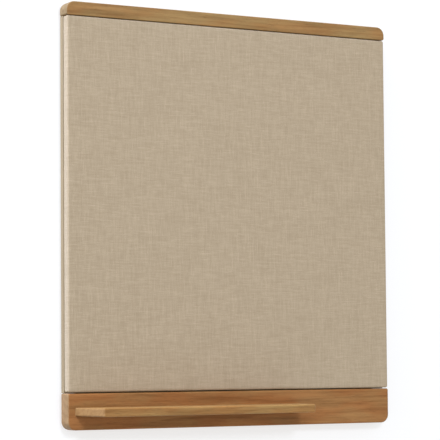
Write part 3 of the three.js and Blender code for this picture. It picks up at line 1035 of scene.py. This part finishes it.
shape, flat = wrap_linen()
cloth_map = shape.loops.layers.uv.new(CLOTH_MAP)
for face in shape.faces:
    for loop in face.loops:
        loop[cloth_map].uv = flat[loop.vert]
linen = add_piece("linen_wrap", shape, linen_cloth)
thickness = linen.modifiers.new("cloth thickness", "SOLIDIFY")
thickness.thickness = LINEN_THICKNESS
thickness.offset = -1
settle(linen)
dress(linen, "linen", "linen_cover")

# %% [markdown]
# The back panel and the soft core are both pressed from wood fibre: the panel hard, brown and sanded,
# the core pale and loose. Plain noise looks like cloud, so the group mats it at a fine scale and adds
# long flecks, and the two boards use it with their own colours and fibre sizes. The core keeps its
# solid, because the linen hides all of it, and only gets the finish.

# %% Make the fibreboards
MAT_NOISE = (5.0, 0.65)
MAT_SHOWN = (0.3, 0.7)
FLECK_STRETCH = (0.25, 1.0, 1.0)
FLECK_FINENESS = 1.7
FLECKS_SHOWN = (0.6, 0.72)
CLOUD_SCALE = 14.0
CLOUD_SHARE, MAT_SHARE = 0.4, 0.6
FLECK_SHARE = 0.6
MAT_ROUGHNESS = 0.1


def build_fibre():
    inputs = {"Position": "NodeSocketVector", "Fibre Size": "NodeSocketFloat"}
    outputs = dict.fromkeys(("Mat", "Flecks"), "NodeSocketFloat")
    tree, given, result = new_group("pressed fibre", inputs, outputs)
    position = in_millimetres(tree, given.outputs["Position"])
    waves = maths(tree, "DIVIDE", 1.0, given.outputs["Fibre Size"])
    mat = remap(tree, cloud(tree, position, waves, *MAT_NOISE), *MAT_SHOWN)
    tree.links.new(mat, result.inputs["Mat"])
    stretched = vector_maths(tree, "MULTIPLY", position, FLECK_STRETCH)
    flecks = cloud(tree, stretched, maths(tree, "MULTIPLY", waves, FLECK_FINENESS))
    tree.links.new(remap(tree, flecks, *FLECKS_SHOWN), result.inputs["Flecks"])
    return tree


def fibre_finish(name, pale, dark, fleck, fibre_size, roughness, relief):
    material, tree, shader = new_material(name)
    place = object_place(tree)
    fibre = use_group(tree, fibre_group, {"Position": place, "Fibre Size": fibre_size})
    matted = maths(tree, "MULTIPLY", fibre["Mat"], MAT_SHARE)
    shade = maths(tree, "MULTIPLY_ADD", cloud(tree, place, CLOUD_SCALE), CLOUD_SHARE, matted)
    colour = mix_colours(tree, shade, dark, pale)
    flecked = mix_colours(tree, maths(tree, "MULTIPLY", fibre["Flecks"], FLECK_SHARE), colour, fleck)
    tree.links.new(flecked, shader.inputs["Base Color"])
    rough = maths(tree, "MULTIPLY_ADD", fibre["Mat"], MAT_ROUGHNESS, roughness)
    tree.links.new(rough, shader.inputs["Roughness"])
    bump(tree, shader, fibre["Mat"], relief)
    return material


fibre_group = build_fibre()
hard_fibreboard = fibre_finish(
    "hard fibreboard",
    pale=(0.345, 0.272, 0.172),
    dark=(0.228, 0.174, 0.100),
    fleck=(0.13, 0.095, 0.05),
    fibre_size=0.9,
    roughness=0.62,
    relief=0.05 * MM,
)
soft_fibreboard = fibre_finish(
    "soft fibreboard",
    pale=(0.42, 0.360, 0.260),
    dark=(0.28, 0.230, 0.160),
    fleck=(0.2, 0.16, 0.1),
    fibre_size=2.2,
    roughness=0.85,
    relief=0.3 * MM,
)
core_finish = frame["nodes"]["tack_core"].data.materials
core_finish.clear()
core_finish.append(soft_fibreboard)
print("fibreboards:", hard_fibreboard.name, soft_fibreboard.name)

# %% [markdown]
# The back panel is nearly as wide as the board and has a narrower tongue above and below, let flush
# into the cap and the rail. Its outline has square corners only, so half of it is listed and the
# other half mirrored. Each screw sits in a countersunk hole. A cone and a cylinder could be cut one
# after the other, but one turned form, a little larger than the screw, cuts both at once.

# %% Shape the back panel
PANEL_EASE = 0.5 * MM
SCREW_HEAD_DEPTH = 2.4 * MM
SCREW_RIM = 0.4 * MM
SCREW_SHANK = 1.75 * MM
HOLE_DEPTH = 2 * SCREW_HEAD_DEPTH
rail_screws = numbered("top_rail_screw_") + numbered("bottom_rail_screw_")
panel_screws = numbered("panel_screw_")


def countersink(centre):
    profile = [
        (0, -HOLE_DEPTH),
        (SCREW_SHANK, -HOLE_DEPTH),
        (SCREW_SHANK, -SCREW_HEAD_DEPTH - FIT_GAP),
        (wood_screw_radius + FIT_GAP, -SCREW_RIM),
        (wood_screw_radius + FIT_GAP, OVERSHOOT),
        (0, OVERSHOOT),
    ]
    return moved(turned(profile, SIDES), centre)


panel_top, panel_bottom = cap_edge - FIT_GAP, rail_high.z + FIT_GAP
tongue = tongue_half - FIT_GAP
right_half = [
    (tongue, panel_low.z),
    (tongue, panel_bottom),
    (panel_high.x, panel_bottom),
    (panel_high.x, panel_top),
    (tongue, panel_top),
    (tongue, panel_high.z),
]
left_half = [(-across, up) for across, up in reversed(right_half)]
outline = [Vector(corner) for corner in right_half + left_half]
shape = slab(outline, panel_low.y, panel_high.y, PANEL_EASE, facing_front)
panel = add_piece("back_board", shape, hard_fibreboard)
carve(panel, joined([countersink(head_centre(node)) for node in rail_screws + panel_screws]))
dress(even_shading(panel), "back_board", "back_panel")

# %% [markdown]
# The wood screws are yellow-plated steel and the hangers bright zinc. Plated metal is never an even
# mirror: it has a faint cloudiness and fine scratches from handling. An even roughness would look
# like plastic, so one group gives clouds and scratches to both metals.

# %% Make the metals
HANDLED_CLOUDS = (4.0, 0.6)
CLOUDS_SHOWN = (0.3, 0.7)
SCRATCH_STRETCH = (9.0, 1.0, 0.35)
SCRATCH_DETAIL = 3.0
SCRATCHES_SHOWN = (0.4, 0.7)
CLOUD_SIZE = 3.5
CLOUD_ROUGHNESS = 0.14
SCRATCH_ROUGHNESS = 0.1
SCRATCH_RELIEF = 0.008 * MM


def build_handling():
    inputs = {"Position": "NodeSocketVector", "Cloud Size": "NodeSocketFloat"}
    outputs = dict.fromkeys(("Clouds", "Scratches"), "NodeSocketFloat")
    tree, given, result = new_group("handled metal", inputs, outputs)
    position = in_millimetres(tree, given.outputs["Position"])
    waves = maths(tree, "DIVIDE", 1.0, given.outputs["Cloud Size"])
    clouds = remap(tree, cloud(tree, position, waves, *HANDLED_CLOUDS), *CLOUDS_SHOWN)
    tree.links.new(clouds, result.inputs["Clouds"])
    stretched = vector_maths(tree, "MULTIPLY", position, SCRATCH_STRETCH)
    scratches = remap(tree, cloud(tree, stretched, 1.0, SCRATCH_DETAIL), *SCRATCHES_SHOWN)
    tree.links.new(scratches, result.inputs["Scratches"])
    return tree


def metal_finish(name, bright, dull, roughness):
    material, tree, shader = new_material(name)
    sockets = {"Position": object_place(tree), "Cloud Size": CLOUD_SIZE}
    handled = use_group(tree, handling_group, sockets)
    colour = mix_colours(tree, handled["Clouds"], bright, dull)
    tree.links.new(colour, shader.inputs["Base Color"])
    shader.inputs["Metallic"].default_value = 1.0
    rough = maths(tree, "MULTIPLY_ADD", handled["Clouds"], CLOUD_ROUGHNESS, roughness)
    rough = maths(tree, "MULTIPLY_ADD", handled["Scratches"], SCRATCH_ROUGHNESS, rough)
    tree.links.new(rough, shader.inputs["Roughness"])
    bump(tree, shader, handled["Scratches"], SCRATCH_RELIEF)
    return material


handling_group = build_handling()
yellow_plating = metal_finish(
    "yellow plating",
    bright=(0.72, 0.54, 0.24),
    dull=(0.55, 0.40, 0.20),
    roughness=0.28,
)
bright_zinc = metal_finish(
    "bright zinc",
    bright=(0.66, 0.67, 0.69),
    dull=(0.48, 0.49, 0.51),
    roughness=0.24,
)
print("metals:", yellow_plating.name, bright_zinc.name)

# %% [markdown]
# The bumpers are black rubber, which is never quite black: a pale bloom comes out of it in patches,
# and its moulded skin is finely pebbled. An even black would do from far off. Here both are noise, at
# two scales, and no group is needed, since only the bumpers have it.

# %% Make the rubber
RUBBER_BLACK = (0.018, 0.018, 0.018)
RUBBER_BLOOM = (0.05, 0.049, 0.047)
BLOOM_SCALE = 160.0
BLOOM_SHOWN = (0.4, 0.75)
PEBBLE_SCALE = 900.0
PEBBLE_NOISE = (3.0, 0.6)
PEBBLE_ROUGHNESS = 0.25
RUBBER_ROUGHNESS = 0.55
PEBBLE_RELIEF = 0.06 * MM

black_rubber, tree, shader = new_material("black rubber")
place = object_place(tree)
pebbles = cloud(tree, place, PEBBLE_SCALE, *PEBBLE_NOISE)
bloom = remap(tree, cloud(tree, place, BLOOM_SCALE), *BLOOM_SHOWN)
tree.links.new(mix_colours(tree, bloom, RUBBER_BLACK, RUBBER_BLOOM), shader.inputs["Base Color"])
rough = maths(tree, "MULTIPLY_ADD", pebbles, PEBBLE_ROUGHNESS, RUBBER_ROUGHNESS)
tree.links.new(rough, shader.inputs["Roughness"])
bump(tree, shader, pebbles, PEBBLE_RELIEF)
print("rubber:", black_rubber.name)

# %% [markdown]
# Twenty-one screws, two hanger straps and two bumpers are copies of a few forms. They could be copied
# in a Python loop, but this is what Geometry Nodes are for: one tree sets a form out at marked points
# and gives each copy its own turn from a fixed seed, because no two screws stop at the same angle.
# The copies are then realised, since instances would be lost when the model is saved for other
# programs.

# %% Build the setting-out tree
def build_setting_out():
    inputs = {
        "Points": "NodeSocketGeometry",
        "Form": "NodeSocketObject",
        "Largest Turn": "NodeSocketFloat",
        "Seed": "NodeSocketInt",
        "Finish": "NodeSocketMaterial",
    }
    outputs = {"Copies": "NodeSocketGeometry"}
    tree, given, result = new_group("set out a form", inputs, outputs, "GeometryNodeTree")
    form = add_node(tree, "GeometryNodeObjectInfo", {"Object": given.outputs["Form"]})
    largest = given.outputs["Largest Turn"]
    least = maths(tree, "MULTIPLY", largest, -1.0)
    # Random Value has sockets for several kinds of value. For a float, its limits are sockets 2 and 3.
    sockets = {2: least, 3: largest, "Seed": given.outputs["Seed"]}
    chance = add_node(tree, "FunctionNodeRandomValue", sockets, data_type="FLOAT")
    turn = add_node(tree, "ShaderNodeCombineXYZ", {"Y": chance.outputs[1]})
    sockets = {
        "Points": given.outputs["Points"],
        "Instance": form.outputs["Geometry"],
        "Rotation": turn.outputs[0],
    }
    copies = add_node(tree, "GeometryNodeInstanceOnPoints", sockets)
    real = add_node(tree, "GeometryNodeRealizeInstances", {"Geometry": copies.outputs[0]})
    sockets = {"Geometry": real.outputs[0], "Material": given.outputs["Finish"]}
    finished = add_node(tree, "GeometryNodeSetMaterial", sockets)
    tree.links.new(finished.outputs[0], result.inputs["Copies"])
    return tree


def run_tree(piece, tree, values):
    """Give a piece a Geometry Nodes tree with these inputs, and settle it into a plain mesh."""
    modifier = piece.modifiers.new(tree.name, "NODES")
    modifier.node_group = tree
    for item in tree.interface.items_tree:
        if item.item_type == "SOCKET" and item.in_out == "INPUT" and item.name in values:
            modifier[item.identifier] = values[item.name]
    return settle(piece)


def set_out(name, form, places, material, largest_turn=0.0, seed=1):
    """One piece with a copy of the form at each place. The form itself is used up."""
    marks = bmesh.new()
    for place in places:
        marks.verts.new(place)
    piece = add_piece(name, marks, material)
    values = {"Form": form, "Largest Turn": largest_turn, "Seed": seed, "Finish": material}
    run_tree(piece, setting_out, values)
    bpy.data.objects.remove(form)
    return piece


setting_out = build_setting_out()
print("setting-out tree with", len(setting_out.nodes), "nodes")

# %% [markdown]
# A screw is turned round its axis with its head at the origin. Then a cross is cut into the head and
# a thread is wound round the shank. The thread could be left out, since wood hides it, but the meshes
# are also used by themselves, and a thread is what makes it a screw. It is a ridge that runs out to
# nothing at both ends.

# %% Define the form of a screw
RECESS_SPAN = 4.2 * MM
RECESS_WIDTH = 0.9 * MM
RECESS_DEPTH = 1.1 * MM
THREAD_PITCH = 1.6 * MM
THREAD_HEIGHT = 0.45 * MM
THREAD_STEPS = 14
THREAD_FOOT = THREAD_PITCH * 0.22
THREAD_BURIED = 0.95
THREAD_RUNOUT = 0.02
CORE_SHARE = 0.8
POINT_SHARE = 0.25
TIP_LENGTH = 3 * MM


def cross_recess():
    half_span = RECESS_SPAN / 2
    half_recess = RECESS_WIDTH / 2
    return [
        block((-half_span, -RECESS_DEPTH, -half_recess), (half_span, OVERSHOOT, half_recess)),
        block((-half_recess, -RECESS_DEPTH, -half_span), (half_recess, OVERSHOOT, half_span)),
    ]


def thread(radius, first, last):
    """A ridge wound round the y axis between two depths, closed at both ends."""
    turns = (first - last) / THREAD_PITCH
    steps = round(turns * THREAD_STEPS)
    shape = bmesh.new()
    sections = []
    for step in range(steps + 1):
        angle = 2 * math.pi * turns * step / steps
        y = first + (last - first) * step / steps
        grown = min(1, step / THREAD_STEPS, (steps - step) / THREAD_STEPS)
        crest = radius + THREAD_HEIGHT * max(grown, THREAD_RUNOUT)
        root = radius * THREAD_BURIED
        corners = ((root, y + THREAD_FOOT), (crest, y), (root, y - THREAD_FOOT))
        points = [(out * math.cos(angle), depth, out * math.sin(angle)) for out, depth in corners]
        sections.append([shape.verts.new(point) for point in points])
    for section, following in zip(sections, sections[1:]):
        bridge(shape, section, following)
    shape.faces.new(sections[0])
    shape.faces.new(sections[-1])
    bmesh.ops.recalc_face_normals(shape, faces=shape.faces)
    return shape


def screw_tip(shank, length, point):
    """The start of a screw's profile: its point, and the core under its thread."""
    return [(0, -length), (shank * POINT_SHARE, point - length), (shank * CORE_SHARE, TIP_LENGTH - length)]


def screw_form(profile, core, thread_from, thread_to, material):
    form = add_piece("screw form", turned(profile, SIDES), material)
    for bar in cross_recess():
        carve(form, bar)
    even_shading(form)
    body = bmesh.new()
    body.from_mesh(form.data)
    whole = joined([body, thread(core, thread_from, thread_to)])
    whole.to_mesh(form.data)
    whole.free()
    form.data.set_sharp_from_angle(angle=SHARP_ANGLE)
    return form


print("screw form ready")

# %% [markdown]
# Wood screws hold the back panel to the cap, the rail and the core, and the ledge to the rail. They
# have countersunk heads that lie flush. Each kind could be modelled by itself, but the three differ
# only in length, which their solids give. So one function makes them, and each kind becomes one
# piece.

# %% Turn the wood screws
NECK_LENGTH = 1.5 * MM
NECK_TAPER = 0.5 * MM
POINT_LENGTH = 0.5 * MM
HEAD_UNDERSIDE = 0.1 * MM
HEAD_ARRIS = 0.15 * MM
THREAD_BELOW_HEAD = 3 * MM
THREAD_ABOVE_POINT = 0.6 * TIP_LENGTH
SCREW_TURN = math.pi / 2


def wood_screws(name, nodes, seed):
    low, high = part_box(nodes[0])
    length = high.y - low.y
    neck = -SCREW_HEAD_DEPTH - NECK_LENGTH
    profile = [
        *screw_tip(SCREW_SHANK, length, POINT_LENGTH),
        (SCREW_SHANK * CORE_SHARE, neck - NECK_TAPER),
        (SCREW_SHANK, neck),
        (SCREW_SHANK, -SCREW_HEAD_DEPTH),
        (wood_screw_radius - HEAD_UNDERSIDE, -SCREW_RIM),
        (wood_screw_radius, HEAD_UNDERSIDE - SCREW_RIM),
        (wood_screw_radius, -HEAD_ARRIS),
        (wood_screw_radius - HEAD_ARRIS, 0),
        (0, 0),
    ]
    thread_from = -SCREW_HEAD_DEPTH - THREAD_BELOW_HEAD
    thread_to = THREAD_ABOVE_POINT - length
    form = screw_form(profile, SCREW_SHANK * CORE_SHARE, thread_from, thread_to, yellow_plating)
    places = [head_centre(node) for node in nodes]
    return set_out(name, form, places, yellow_plating, SCREW_TURN, seed)


for name, nodes, seed in (
    ("rail_screws", rail_screws, 3),
    ("panel_screws", panel_screws, 5),
    ("ledge_screws", ledge_screws, 8),
):
    dress(wood_screws(name, nodes, seed), "screw_steel", *nodes)

# %% [markdown]
# Each hanger strap is a strip of sheet steel, folded double so that its fold makes an eye for the
# ring's straight bar. A solid could be hollowed out, but a fold is a path, so it is drawn as one: up
# along the back panel, round the eye, and down again onto the first layer. The sheet's thickness is
# set off to both sides of the path, and the section is pushed across the strap's width.

# %% Fold the strap
SHEET = 0.8 * MM
WIRE_RADIUS = 1.1 * MM
RUNNING_GAP = 0.3 * MM
STRAP_SEAM = 0.02 * MM
EYE_STEPS = 28
EYE_ENDS = math.radians(-62)
# Where the sheet comes down again, and how its curve is drawn, in radii of the bend.
LANDING = 3.6
PULL_FROM_EYE = 0.8
PULL_TO_LANDING = 1.3
BLEND_STEPS = 10
straps = numbered("hanger_strap_")
strap_low, strap_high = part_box(straps[0])
bars = [Vector(joint["pos_m"]) for joint in frame["joints"]]
strap_half = (strap_high.x - strap_low.x) / 2
strap_drop = bars[0].z - strap_low.z
bar_out = bars[0].y - strap_low.y


def fold_path():
    """The middle of the sheet, as (out from the bar's axis, up from it)."""
    bend = WIRE_RADIUS + RUNNING_GAP + SHEET / 2
    inner = SHEET / 2 - bar_out
    outer = inner + SHEET + STRAP_SEAM
    path = [Vector((inner, -strap_drop))]
    for step in range(EYE_STEPS + 1):
        angle = math.pi + (EYE_ENDS - math.pi) * step / EYE_STEPS
        path.append(Vector((bend * math.cos(angle), bend * math.sin(angle))))
    start = path[-1]
    landing = Vector((outer, -LANDING * bend))
    from_eye = start + Vector((math.sin(EYE_ENDS), -math.cos(EYE_ENDS))) * bend * PULL_FROM_EYE
    to_landing = landing + Vector((0, bend * PULL_TO_LANDING))
    for step in range(1, BLEND_STEPS + 1):
        share = step / BLEND_STEPS
        rest = 1 - share
        ends = start * rest**3 + landing * share**3
        path.append(ends + from_eye * 3 * share * rest**2 + to_landing * 3 * share**2 * rest)
    path.append(Vector((outer, -strap_drop)))
    return path


def folded_sheet():
    path = fold_path()
    one_side, other_side = [], []
    for i, point in enumerate(path):
        along = (path[min(i + 1, len(path) - 1)] - path[max(i - 1, 0)]).normalized()
        across = Vector((-along.y, along.x)) * (SHEET / 2)
        one_side.append(point + across)
        other_side.append(point - across)
    section = one_side + other_side[::-1]
    shape = bmesh.new()
    rings = []
    for x in (-strap_half, strap_half):
        rings.append([shape.verts.new((x, point.x, point.y)) for point in section])
    bridge(shape, *rings)
    shape.faces.new(rings[0])
    shape.faces.new(rings[1])
    return shape


strap = add_piece("strap form", folded_sheet(), bright_zinc)
print("strap folded from a path of", len(fold_path()), "points")

# %% [markdown]
# A press then cuts the folded strip to its outline, with a round lower end and two holes for screws.
# Each layer could be cut by itself. Here an outline slab is laid over the strip and only what they
# share is kept, which cuts both alike. A small Bevel takes the sharpness off the sheet's edges, and
# the tree sets the strap out at both bars.

# %% Cut the hanger straps
# A little less than half the width, so that the two arcs of the round end share no point.
ROUND_END = 0.98
CUTTER_EASE = 0.15 * MM
STRAP_HOLE = 1.8 * MM
SOFT_EDGE = 0.12 * MM
SOFT_EDGE_STEPS = 2
SOFT_EDGE_ANGLE = math.radians(50)
hanger_screws = numbered("hanger_screw_")
left_screws = numbered("hanger_screw_left_")
reach = 2 * bar_out

outline = rounded([
    (-strap_half, -strap_drop, strap_half * ROUND_END),
    (strap_half, -strap_drop, strap_half * ROUND_END),
    (strap_half, reach, 0),
    (-strap_half, reach, 0),
])
carve(strap, slab(outline, -reach, reach, CUTTER_EASE, facing_front), "INTERSECT")
drops = [head_centre(node).z - bars[0].z for node in left_screws]
carve(strap, joined([drill(STRAP_HOLE, -reach, reach, Vector((0, 0, drop))) for drop in drops]))
soft_edge = strap.modifiers.new("soft edges", "BEVEL")
soft_edge.width = SOFT_EDGE
soft_edge.segments = SOFT_EDGE_STEPS
soft_edge.limit_method = "ANGLE"
soft_edge.angle_limit = SOFT_EDGE_ANGLE
even_shading(settle(strap))
dress(set_out("hanger_straps", strap, bars, bright_zinc), "hanger_steel", *straps)

# %% [markdown]
# The screws of the hangers have pan heads, which stand on the strap where a countersunk head would
# not seat in thin sheet. A pan head is a low rim with a crown over it. The crown could be part of a
# sphere, but a real one is flatter on top and rounder at its edge, which a power of the cosine gives.

# %% Turn the hanger screws
PAN_RADIUS = 3 * MM
PAN_HEIGHT = 1.7 * MM
PAN_RIM = 0.7 * MM
PAN_SHANK = 1.5 * MM
PAN_POINT = 0.4 * MM
PAN_ARRIS = 0.15 * MM
PAN_THREAD_BELOW_HEAD = 0.6 * MM
PAN_THREAD_ABOVE_POINT = 2 * MM
CROWN_POWER = 0.75
CROWN_STEPS = 8
PAN_SEED = 11
screw_low, screw_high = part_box(hanger_screws[0])
pan_length = screw_high.y - screw_low.y
crown_height = PAN_HEIGHT - PAN_RIM
crown = [
    (PAN_RADIUS * math.cos(turn) ** CROWN_POWER, crown_height * (math.sin(turn) - 1))
    for turn in quarter_turn(CROWN_STEPS)[:-1]
]
profile = [
    *screw_tip(PAN_SHANK, pan_length, PAN_POINT),
    (PAN_SHANK * CORE_SHARE, -PAN_HEIGHT),
    (PAN_RADIUS - PAN_ARRIS, -PAN_HEIGHT),
    (PAN_RADIUS, PAN_ARRIS - PAN_HEIGHT),
    *crown,
    (0, 0),
]
thread_from = -PAN_HEIGHT - PAN_THREAD_BELOW_HEAD
thread_to = PAN_THREAD_ABOVE_POINT - pan_length
form = screw_form(profile, PAN_SHANK * CORE_SHARE, thread_from, thread_to, bright_zinc)
places = [head_centre(node) for node in hanger_screws]
pan_screws = set_out("hanger_screws", form, places, bright_zinc, SCREW_TURN, PAN_SEED)
dress(pan_screws, "hanger_steel", *hanger_screws)

# %% [markdown]
# A ring is one length of wire, bent to a D: a straight bar through the strap's eye, two tight bends
# and a bow. Wire follows a path, so a second Geometry Nodes tree sweeps a circle along a loop of
# edges. A torus would be quicker, but it has no straight bar to turn on.

# %% Build the wire tree
WIRE_SIDES = 20


def build_wire():
    inputs = {
        "Loop": "NodeSocketGeometry",
        "Wire Radius": "NodeSocketFloat",
        "Samples": "NodeSocketInt",
        "Finish": "NodeSocketMaterial",
    }
    outputs = {"Wire": "NodeSocketGeometry"}
    tree, given, result = new_group("wire along a loop", inputs, outputs, "GeometryNodeTree")
    line = add_node(tree, "GeometryNodeMeshToCurve", {"Mesh": given.outputs["Loop"]})
    sockets = {"Curve": line.outputs[0], "Count": given.outputs["Samples"]}
    even = add_node(tree, "GeometryNodeResampleCurve", sockets)
    sockets = {"Radius": given.outputs["Wire Radius"], "Resolution": WIRE_SIDES}
    section = add_node(tree, "GeometryNodeCurvePrimitiveCircle", sockets)
    sockets = {"Curve": even.outputs[0], "Profile Curve": section.outputs[0]}
    swept = add_node(tree, "GeometryNodeCurveToMesh", sockets)
    real = add_node(tree, "GeometryNodeRealizeInstances", {"Geometry": swept.outputs[0]})
    smooth = add_node(tree, "GeometryNodeSetShadeSmooth", {"Geometry": real.outputs[0]})
    sockets = {"Geometry": smooth.outputs[0], "Material": given.outputs["Finish"]}
    finished = add_node(tree, "GeometryNodeSetMaterial", sockets)
    tree.links.new(finished.outputs[0], result.inputs["Wire"])
    return tree


wire_tree = build_wire()
print("wire tree with", len(wire_tree.nodes), "nodes")

# %% [markdown]
# The rings stand up from their straps and lean in until the wire nearly touches the panel. Each ring
# turns in its strap by itself. It could be one piece with the other, but then both would have to turn
# together, so each is a piece of its own and rides on a body of its own.

# %% Bend the rings
RING_HALF_WIDTH = 9.5 * MM
RING_BEND = 2.5 * MM
RING_REACH = 16 * MM
# A hair less than half the width, so that the two arcs of the bow share no point.
RING_BOW = RING_HALF_WIDTH * 0.999
RING_ARC_STEPS = 16
RING_SAMPLES = 150
lean = math.asin((bar_out - WIRE_RADIUS - FIT_GAP) / RING_REACH)
ring_outline = rounded([
    (-RING_HALF_WIDTH, 0, RING_BEND),
    (RING_HALF_WIDTH, 0, RING_BEND),
    (RING_HALF_WIDTH, RING_REACH, RING_BOW),
    (-RING_HALF_WIDTH, RING_REACH, RING_BOW),
], RING_ARC_STEPS)


def leaning(point):
    return Vector((point.x, -point.y * math.sin(lean), point.y * math.cos(lean)))


for side, bar in zip(("left", "right"), bars):
    loop = bmesh.new()
    points = [loop.verts.new(bar + leaning(point)) for point in ring_outline]
    for i, point in enumerate(points):
        loop.edges.new((points[i - 1], point))
    ring = add_piece(f"wire_ring_{side}", loop, bright_zinc)
    run_tree(ring, wire_tree, {"Wire Radius": WIRE_RADIUS, "Samples": RING_SAMPLES, "Finish": bright_zinc})
    dress(ring, "hanger_steel", f"hanger_ring_{side}", body=f"ring_{side}")

# %% [markdown]
# Two rubber discs keep the lower end of the board off the wall, so that it hangs straight. A cylinder
# would have a sharp rim, which no mould gives, so the disc is turned from a profile with a small arc.
# The face that meets the wall is flat.

# %% Turn the bumpers
BUMPER_ARC = 1.2 * MM
BUMPER_ARC_STEPS = 6
BUMPER_SIDES = 64
bumpers = numbered("wall_bumper_")
bumper_low, bumper_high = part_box(bumpers[0])
bumper_radius = (bumper_high.x - bumper_low.x) / 2
bumper_depth = bumper_high.y - bumper_low.y
edge = [
    (bumper_radius - BUMPER_ARC * (1 - math.cos(turn)), -BUMPER_ARC * (1 - math.sin(turn)))
    for turn in quarter_turn(BUMPER_ARC_STEPS)
]
profile = [(0, -bumper_depth), (bumper_radius, -bumper_depth), *edge, (0, 0)]
form = even_shading(add_piece("bumper form", turned(profile, BUMPER_SIDES), black_rubber))
pads = set_out("wall_bumpers", form, [head_centre(node) for node in bumpers], black_rubber)
dress(pads, "bumper_rubber", *bumpers)
